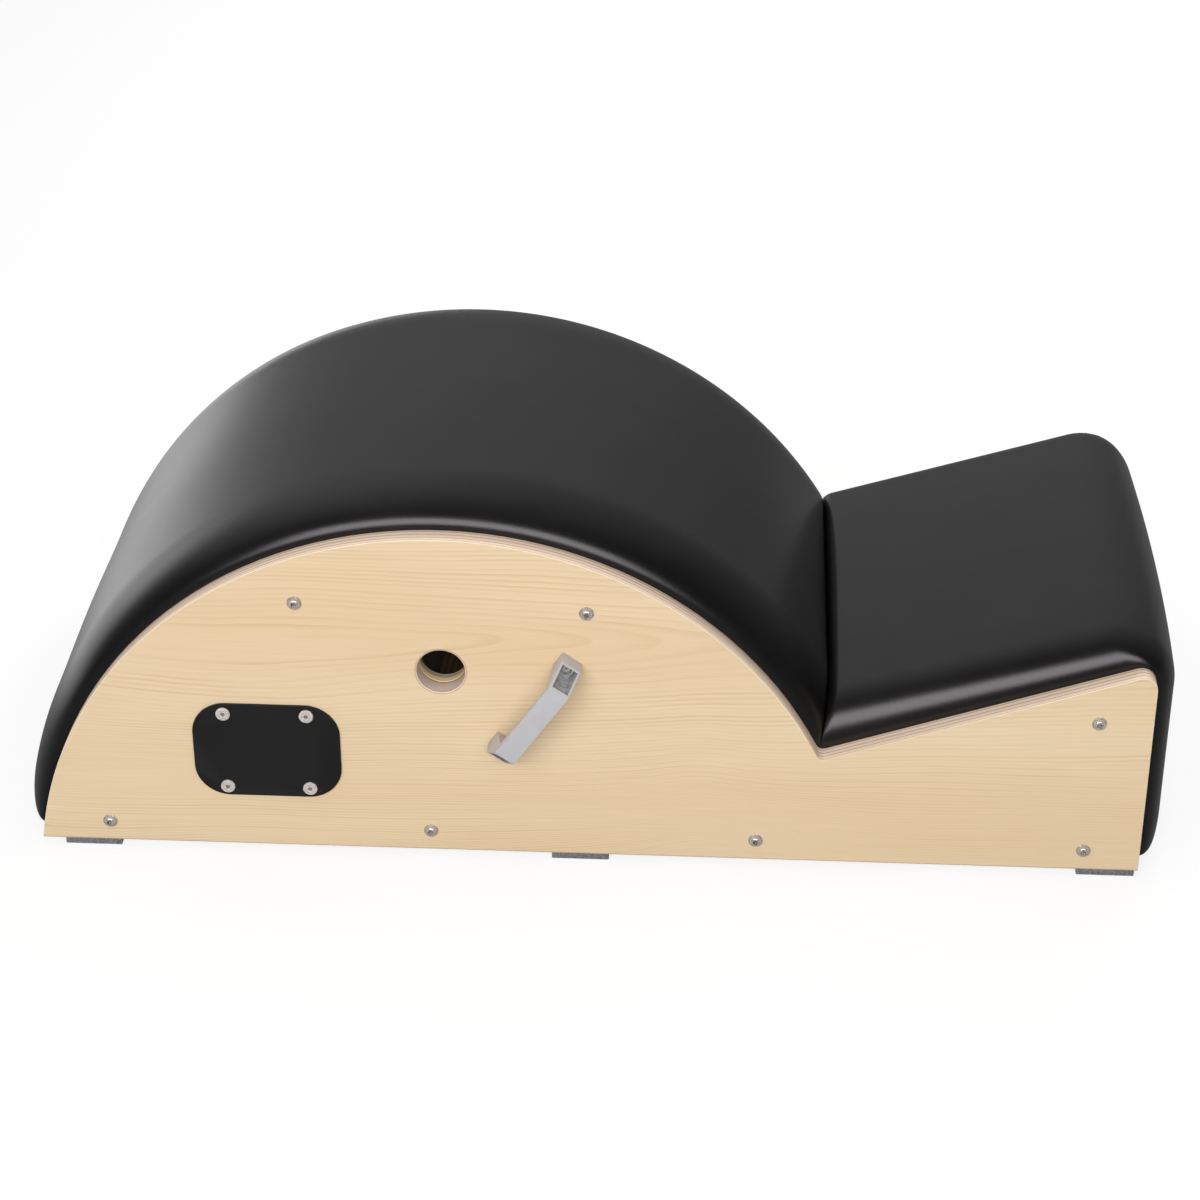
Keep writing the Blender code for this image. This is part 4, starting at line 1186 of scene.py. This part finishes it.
def plateMaterial():
    look = plateLook
    material, tree, shader = newMaterial("mattBlackPlate", look["roughness"])
    place = objectPoint(tree)
    powder = noise(tree, place, 1800.0, 3.0, 0.6, 1.0)
    cloudy = noise(tree, place, 22.0, 3.0, 0.55, 4.0)
    scuffs = sweep(tree, noise(tree, place, (40.0, 40.0, 420.0), 2.0, 0.5, 9.0), 0.66, 0.76)
    ridge = tree.nodes.new("ShaderNodeNewGeometry").outputs["Pointiness"]
    worn = plus(tree, sweep(tree, ridge, 0.52, 0.60), times(tree, scuffs, 0.12))
    tone = blendColour(tree, times(tree, worn, 0.6), look["black"], look["rubbed"])
    rough = plus(tree, look["roughness"] - 0.05, times(tree, cloudy, 0.12))
    paint(tree, shader, tone, bump(tree, powder, 0.00004, 0.4), rough)
    shader.inputs["Specular IOR Level"].default_value = 0.25
    return material


def makePlate():
    form = plateForm
    low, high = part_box("blank_plate")
    spot = (low + high) / 2
    plate = addBox("blankPlate", spot, (form["width"], form["thickness"], form["height"]))

    def isCorner(edge):
        return abs(edge.verts[0].co.y - edge.verts[1].co.y) > 0.001

    def isFrontEdge(edge):
        return all(vert.co.y < low.y + 1e-5 for vert in edge.verts) and edge.calc_face_angle(0.0) > 1.0

    enterEdit(plate, "EDGE")
    for test, width, segments in ((isCorner, form["corner"], 24), (isFrontEdge, form["edge"], 3)):
        bpy.ops.mesh.select_all(action="DESELECT")
        pick(plate, "edges", test)
        bpy.ops.mesh.bevel(offset=width, segments=segments, affect="EDGES")
    leaveEdit()
    for number in range(1, 5):
        screwLow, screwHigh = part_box(f"plate_screw_{number}")
        hole = (screwLow + screwHigh) / 2
        hole.y = spot.y
        cutWith(plate, addCylinder(32, form["holeRadius"], 0.01, hole, sideways))
    smoothShade(plate, 35)
    dress(plate, plateMaterial(), "black_plate", "blank_plate")
    print("plate ready, bare")


# foot pads: strips of pressed felt
footForm = {"cuts": (4, 1), "fray": 0.000175, "edge": 0.0007}
feltLook = {"light": colour(150, 150, 155), "dark": colour(58, 58, 63)}


def feltMaterial():
    look = feltLook
    material, tree, shader = newMaterial("greyFelt", 0.95)
    place = objectPoint(tree)
    fibre = noise(tree, place, 700.0, 4.0, 0.75, 2.0)
    tufts = noise(tree, place, (900.0, 900.0, 2200.0), 3.0, 0.7, 5.0)
    share = plus(tree, times(tree, fibre, 0.6), times(tree, tufts, 0.4))
    tone = tinted(tree, look["dark"], look["light"], share, 0.36, 0.64)
    paint(tree, shader, tone, bump(tree, share, 0.0005, 0.7))
    shader.inputs["Sheen Weight"].default_value = 0.3
    shader.inputs["Sheen Roughness"].default_value = 0.5
    return material


def makeFoot(side, number, felt):
    node = f"foot_pad_{side}_{number}"
    low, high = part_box(node)
    middle = (low + high) / 2
    foot = addBox(f"footPad_{side}_{number}", middle, high - low)
    roundEdges(foot, footForm["edge"], 2)
    for cuts in footForm["cuts"]:
        enterEdit(foot, action="SELECT")
        bpy.ops.mesh.subdivide(number_cuts=cuts)
        leaveEdit()
    # the sides are frayed by a fixed pattern; top and bottom stay flat
    for vert in foot.data.vertices:
        if low.z + 0.0004 < vert.co.z < high.z - 0.0004:
            fray = math.sin(vert.co.x * 2900 + number) * math.sin(vert.co.z * 5200 + vert.co.y * 3100)
            vert.co.x += footForm["fray"] * fray * (1 if vert.co.x > middle.x else -1)
            vert.co.y += footForm["fray"] * fray * (1 if vert.co.y > middle.y else -1)
    smoothShade(foot, 60)
    dress(foot, felt, "grey_felt", node)


def makeFeet():
    felt = feltMaterial()
    for side in ("front", "rear"):
        for number in (1, 2, 3):
            makeFoot(side, number, felt)
    print("feet ready")


# the pieces inside keep their solids and get their own finishes
railLook = {"pale": colour(228, 200, 156), "line": colour(196, 152, 98), "ringWidth": 0.0042}
deckLook = {
    "pale": colour(214, 188, 150),
    "line": colour(182, 146, 104),
    "glue": colour(120, 84, 56),
    "ply": 0.0018,  # thickness of one layer
}
brassLook = {"bright": (0.72, 0.55, 0.26, 1.0), "dull": (0.50, 0.36, 0.15, 1.0)}


def railMaterial():
    look = railLook
    material, tree, shader = newMaterial("planedSoftwood", 0.6)
    place = objectPoint(tree)
    x, _, z = splitPoint(tree, place)
    sway = noise(tree, place, (9.0, 2.5, 9.0), 2.0, 0.5, 3.0)
    rings = plus(tree, times(tree, x, 0.8), times(tree, z, 1.3))
    rings = plus(tree, rings, times(tree, sway, 0.02))
    phase = calc(tree, "FRACT", calc(tree, "DIVIDE", rings, look["ringWidth"]))
    late = times(tree, *lateWood(tree, phase, 0.35, 0.9, 0.93))
    fibre = noise(tree, place, (900.0, 16.0, 900.0), 3.0, 0.6, 5.0)
    tone = blendColour(tree, times(tree, late, 0.7), look["pale"], look["line"])
    tone = tinted(tree, tone, look["line"], fibre, 0.4, 0.7, 0.25)
    paint(tree, shader, tone, bump(tree, minus(tree, fibre, late), 0.00012, 0.5))
    return material


def deckMaterial(name, depthOf):
    look = deckLook
    material, tree, shader = newMaterial(name, 0.7)
    place = objectPoint(tree)
    flow = noise(tree, place, (6.0, 1.4, 6.0), 3.0, 0.55, 4.0)
    bands = calc(tree, "FRACT", times(tree, flow, 11.0))
    late = times(tree, *lateWood(tree, bands, 0.2, 0.85, 0.9))
    fibre = noise(tree, place, (700.0, 14.0, 700.0), 3.0, 0.6, 6.0)
    tone = blendColour(tree, times(tree, late, 0.5), look["pale"], look["line"])
    tone = tinted(tree, tone, look["line"], fibre, 0.4, 0.7, 0.3)
    layer = calc(tree, "PINGPONG", calc(tree, "DIVIDE", depthOf(tree, place), look["ply"]), 1.0)
    seam = sweep(tree, layer, 0.0, 0.14, 1.0, 0.0)
    tone = blendColour(tree, times(tree, seam, 0.5), tone, look["glue"])
    paint(tree, shader, tone, bump(tree, plus(tree, fibre, layer), 0.00015, 0.4))
    return material


def barrelDepth(tree, place):
    x, _, z = splitPoint(tree, place)
    across = minus(tree, x, barrelX)
    up = minus(tree, z, barrelZ)
    radius = calc(tree, "SQRT", plus(tree, times(tree, across, across), times(tree, up, up)))
    return minus(tree, radius, body["deckInner"] + deckLook["ply"] / 2)


def seatDepth(tree, place):
    x, _, z = splitPoint(tree, place)
    level = plus(tree, times(tree, x, float(slopeUp[0])), times(tree, z, float(slopeUp[1])))
    # one metre more keeps the measure above zero
    return plus(tree, level, 1.0 + deckLook["ply"] / 2)


def brassMaterial():
    look = brassLook
    material, tree, shader = newMaterial("turnedBrass", 0.35, 1.0)
    place = objectPoint(tree)
    cuts = noise(tree, place, (40.0, 1600.0, 40.0), 2.0, 0.6, 2.0)
    stain = noise(tree, place, 260.0, 3.0, 0.6, 4.0)
    tone = tinted(tree, look["bright"], look["dull"], stain, 0.35, 0.7)
    paint(tree, shader, tone, bump(tree, cuts, 0.00008, 0.5), plus(tree, 0.26, times(tree, stain, 0.2)))
    return material


def dressNodes():
    rail = railMaterial()
    brass = brassMaterial()
    finishes = {
        "barrel_deck": deckMaterial("bentPlywood", barrelDepth),
        "seat_deck": deckMaterial("seatPlywood", seatDepth),
    }
    for name, node in cadNodes.items():
        if name.startswith("rail_"):
            finishes[name] = brass if name.startswith("rail_insert") else rail
        if name in finishes:
            node.data.materials.clear()
            node.data.materials.append(finishes[name])
    print("rails, decks and inserts finished")


# floor, light and camera
white = (1.0, 1.0, 1.0, 1.0)
stageLook = {
    "floorWhite": (0.93, 0.93, 0.93, 1.0),
    "floorGrey": (0.50, 0.50, 0.50, 1.0),  # what the floor gives back to the object
    "floorGlow": 0.80,  # share of plain white that the camera sees in the floor
    "floorStrength": 1.03,
    "floorMirrored": 0.22,  # how bright a glossy surface shows it
    "floorLeftBack": 1.0,  # and how much brighter towards the left rear
    "base": 0.10,
    "glows": (  # direction, narrowness, strength
        ((-0.056, 0.700, 0.712), 3.0, 0.42),
        ((-0.752, 0.650, 0.110), 30.0, 1.65),
        ((-0.560, 0.370, 0.741), 8.0, 0.32),
    ),
    "lights": (  # name, power, size, place, aim, and whether polished surfaces mirror it
        ("keySoftbox", 80.0, (3.25, 1.45), (-0.20, -2.60, 1.61), (0.0, -0.2, 0.2), True),
        ("topFill", 12.0, (2.4, 1.8), (0.0, -0.1, 2.5), (0.0, 0.0, 0.2), False),
        ("rearFill", 45.0, (2.0, 1.4), (0.9, 2.4, 1.6), (0.0, 0.2, 0.15), False),
    ),
    "floorSize": 16.0,
    "floorLevel": -0.0002,
}


def makeWorld():
    look = stageLook
    world = bpy.data.worlds.new("studio")
    bpy.context.scene.world = world
    world.use_nodes = True
    tree = world.node_tree
    tree.nodes.clear()
    way = tree.nodes.new("ShaderNodeTexCoord").outputs["Generated"]
    total = look["base"]
    for direction, narrow, strength in look["glows"]:
        dot = tree.nodes.new("ShaderNodeVectorMath")
        dot.operation = "DOT_PRODUCT"
        feed(tree, dot.inputs[0], way)
        dot.inputs[1].default_value = direction
        glow = calc(tree, "POWER", calc(tree, "MAXIMUM", dot.outputs["Value"], 0.0), narrow)
        total = plus(tree, times(tree, glow, strength), total)
    light = addNode(tree, "Background", Color=white, Strength=total)
    plain = addNode(tree, "Background", Color=white, Strength=1.0)
    path = tree.nodes.new("ShaderNodeLightPath")
    addNode(tree, "OutputWorld", Surface=mixShaders(tree, path.outputs["Is Camera Ray"], light, plain))


def makeFloor():
    look = stageLook
    selectNone()
    bpy.ops.mesh.primitive_plane_add(size=look["floorSize"], location=(0, 0, look["floorLevel"]))
    floor = named("studioFloor")
    applyPlace(floor)
    material, tree, shader = newMaterial("studioWhite", 0.9)
    shader.inputs["Specular IOR Level"].default_value = 0.0
    # the glow stops under the object, so that the hollow stays dark
    x, y, _ = splitPoint(tree, objectPoint(tree))
    half = (panelHigh.x - panelLow.x) / 2
    fromMiddle = calc(tree, "ABSOLUTE", minus(tree, x, (panelLow.x + panelHigh.x) / 2))
    besideX = sweep(tree, fromMiddle, half - 0.06, half - 0.01)
    besideY = sweep(tree, calc(tree, "ABSOLUTE", y), body["innerFace"] - 0.03, body["innerFace"] + 0.01)
    outside = calc(tree, "MAXIMUM", besideX, besideY)
    path = tree.nodes.new("ShaderNodeLightPath")
    seen = calc(tree, "MAXIMUM", path.outputs["Is Camera Ray"], path.outputs["Is Transmission Ray"])
    mirrored = path.outputs["Is Glossy Ray"]
    feed(tree, shader.inputs["Base Color"], blendColour(tree, seen, look["floorGrey"], look["floorWhite"]))
    share = calc(tree, "MAXIMUM", times(tree, seen, look["floorGlow"]), mirrored)
    share = times(tree, share, outside)
    left = sweep(tree, x, panelLow.x - 0.30, panelLow.x, 1.0, 0.0)
    leftBack = times(tree, left, sweep(tree, y, -0.1, 0.35))
    change = look["floorMirrored"] - look["floorStrength"]
    change = calc(tree, "MULTIPLY_ADD", leftBack, look["floorLeftBack"], change)
    strength = calc(tree, "MULTIPLY_ADD", mirrored, change, look["floorStrength"])
    glow = addNode(tree, "Emission", Color=white, Strength=strength)
    surface = tree.nodes["Material Output"].inputs["Surface"]
    feed(tree, surface, mixShaders(tree, share, shader, glow))
    floor.data.materials.append(material)


def areaLight(name, power, size, spot, aim, glossy):
    light = bpy.data.lights.new(name, "AREA")
    light.shape = "RECTANGLE"
    light.size, light.size_y = size
    light.energy = power
    lamp = bpy.data.objects.new(name, light)
    lamp.location = spot
    lamp.rotation_euler = (Vector(aim) - Vector(spot)).to_track_quat("-Z", "Y").to_euler()
    lamp.visible_glossy = glossy
    bpy.context.scene.collection.objects.link(lamp)


def makeStage():
    makeWorld()
    makeFloor()
    for light in stageLook["lights"]:
        areaLight(*light)
    bpy.context.scene.view_settings.view_transform = "Standard"
    print("stage lit")


cameraSetup = {
    "focal": 2876.87 / 1200 * 36,  # from the fit of the panel's outline, bolts and pads
    "pitch": math.radians(29.972),
    "turn": math.radians(3.117),
    "distance": 2.39705,
    "aimX": 0.13734,  # from the barrel's middle
    "aimZ": 0.25745,
}


def makeCamera():
    setup = cameraSetup
    data = bpy.data.cameras.new("photoCamera")
    data.lens = setup["focal"]
    data.sensor_width = 36.0
    camera = bpy.data.objects.new("photoCamera", data)
    pitch, turn = setup["pitch"], setup["turn"]
    back = Vector((math.sin(turn) * math.cos(pitch), -math.cos(turn) * math.cos(pitch), math.sin(pitch)))
    aim = Vector((barrelX + setup["aimX"], -body["panelFace"], body["base"] + setup["aimZ"]))
    camera.location = aim + back * setup["distance"]
    camera.rotation_euler = (math.pi / 2 - pitch, 0.0, turn)
    bpy.context.scene.collection.objects.link(camera)
    bpy.context.scene.camera = camera
    print("camera set")


makePanels()
makePads()
makeHandles()
makeScrews()
makePlate()
makeFeet()
dressNodes()
makeStage()
makeCamera()
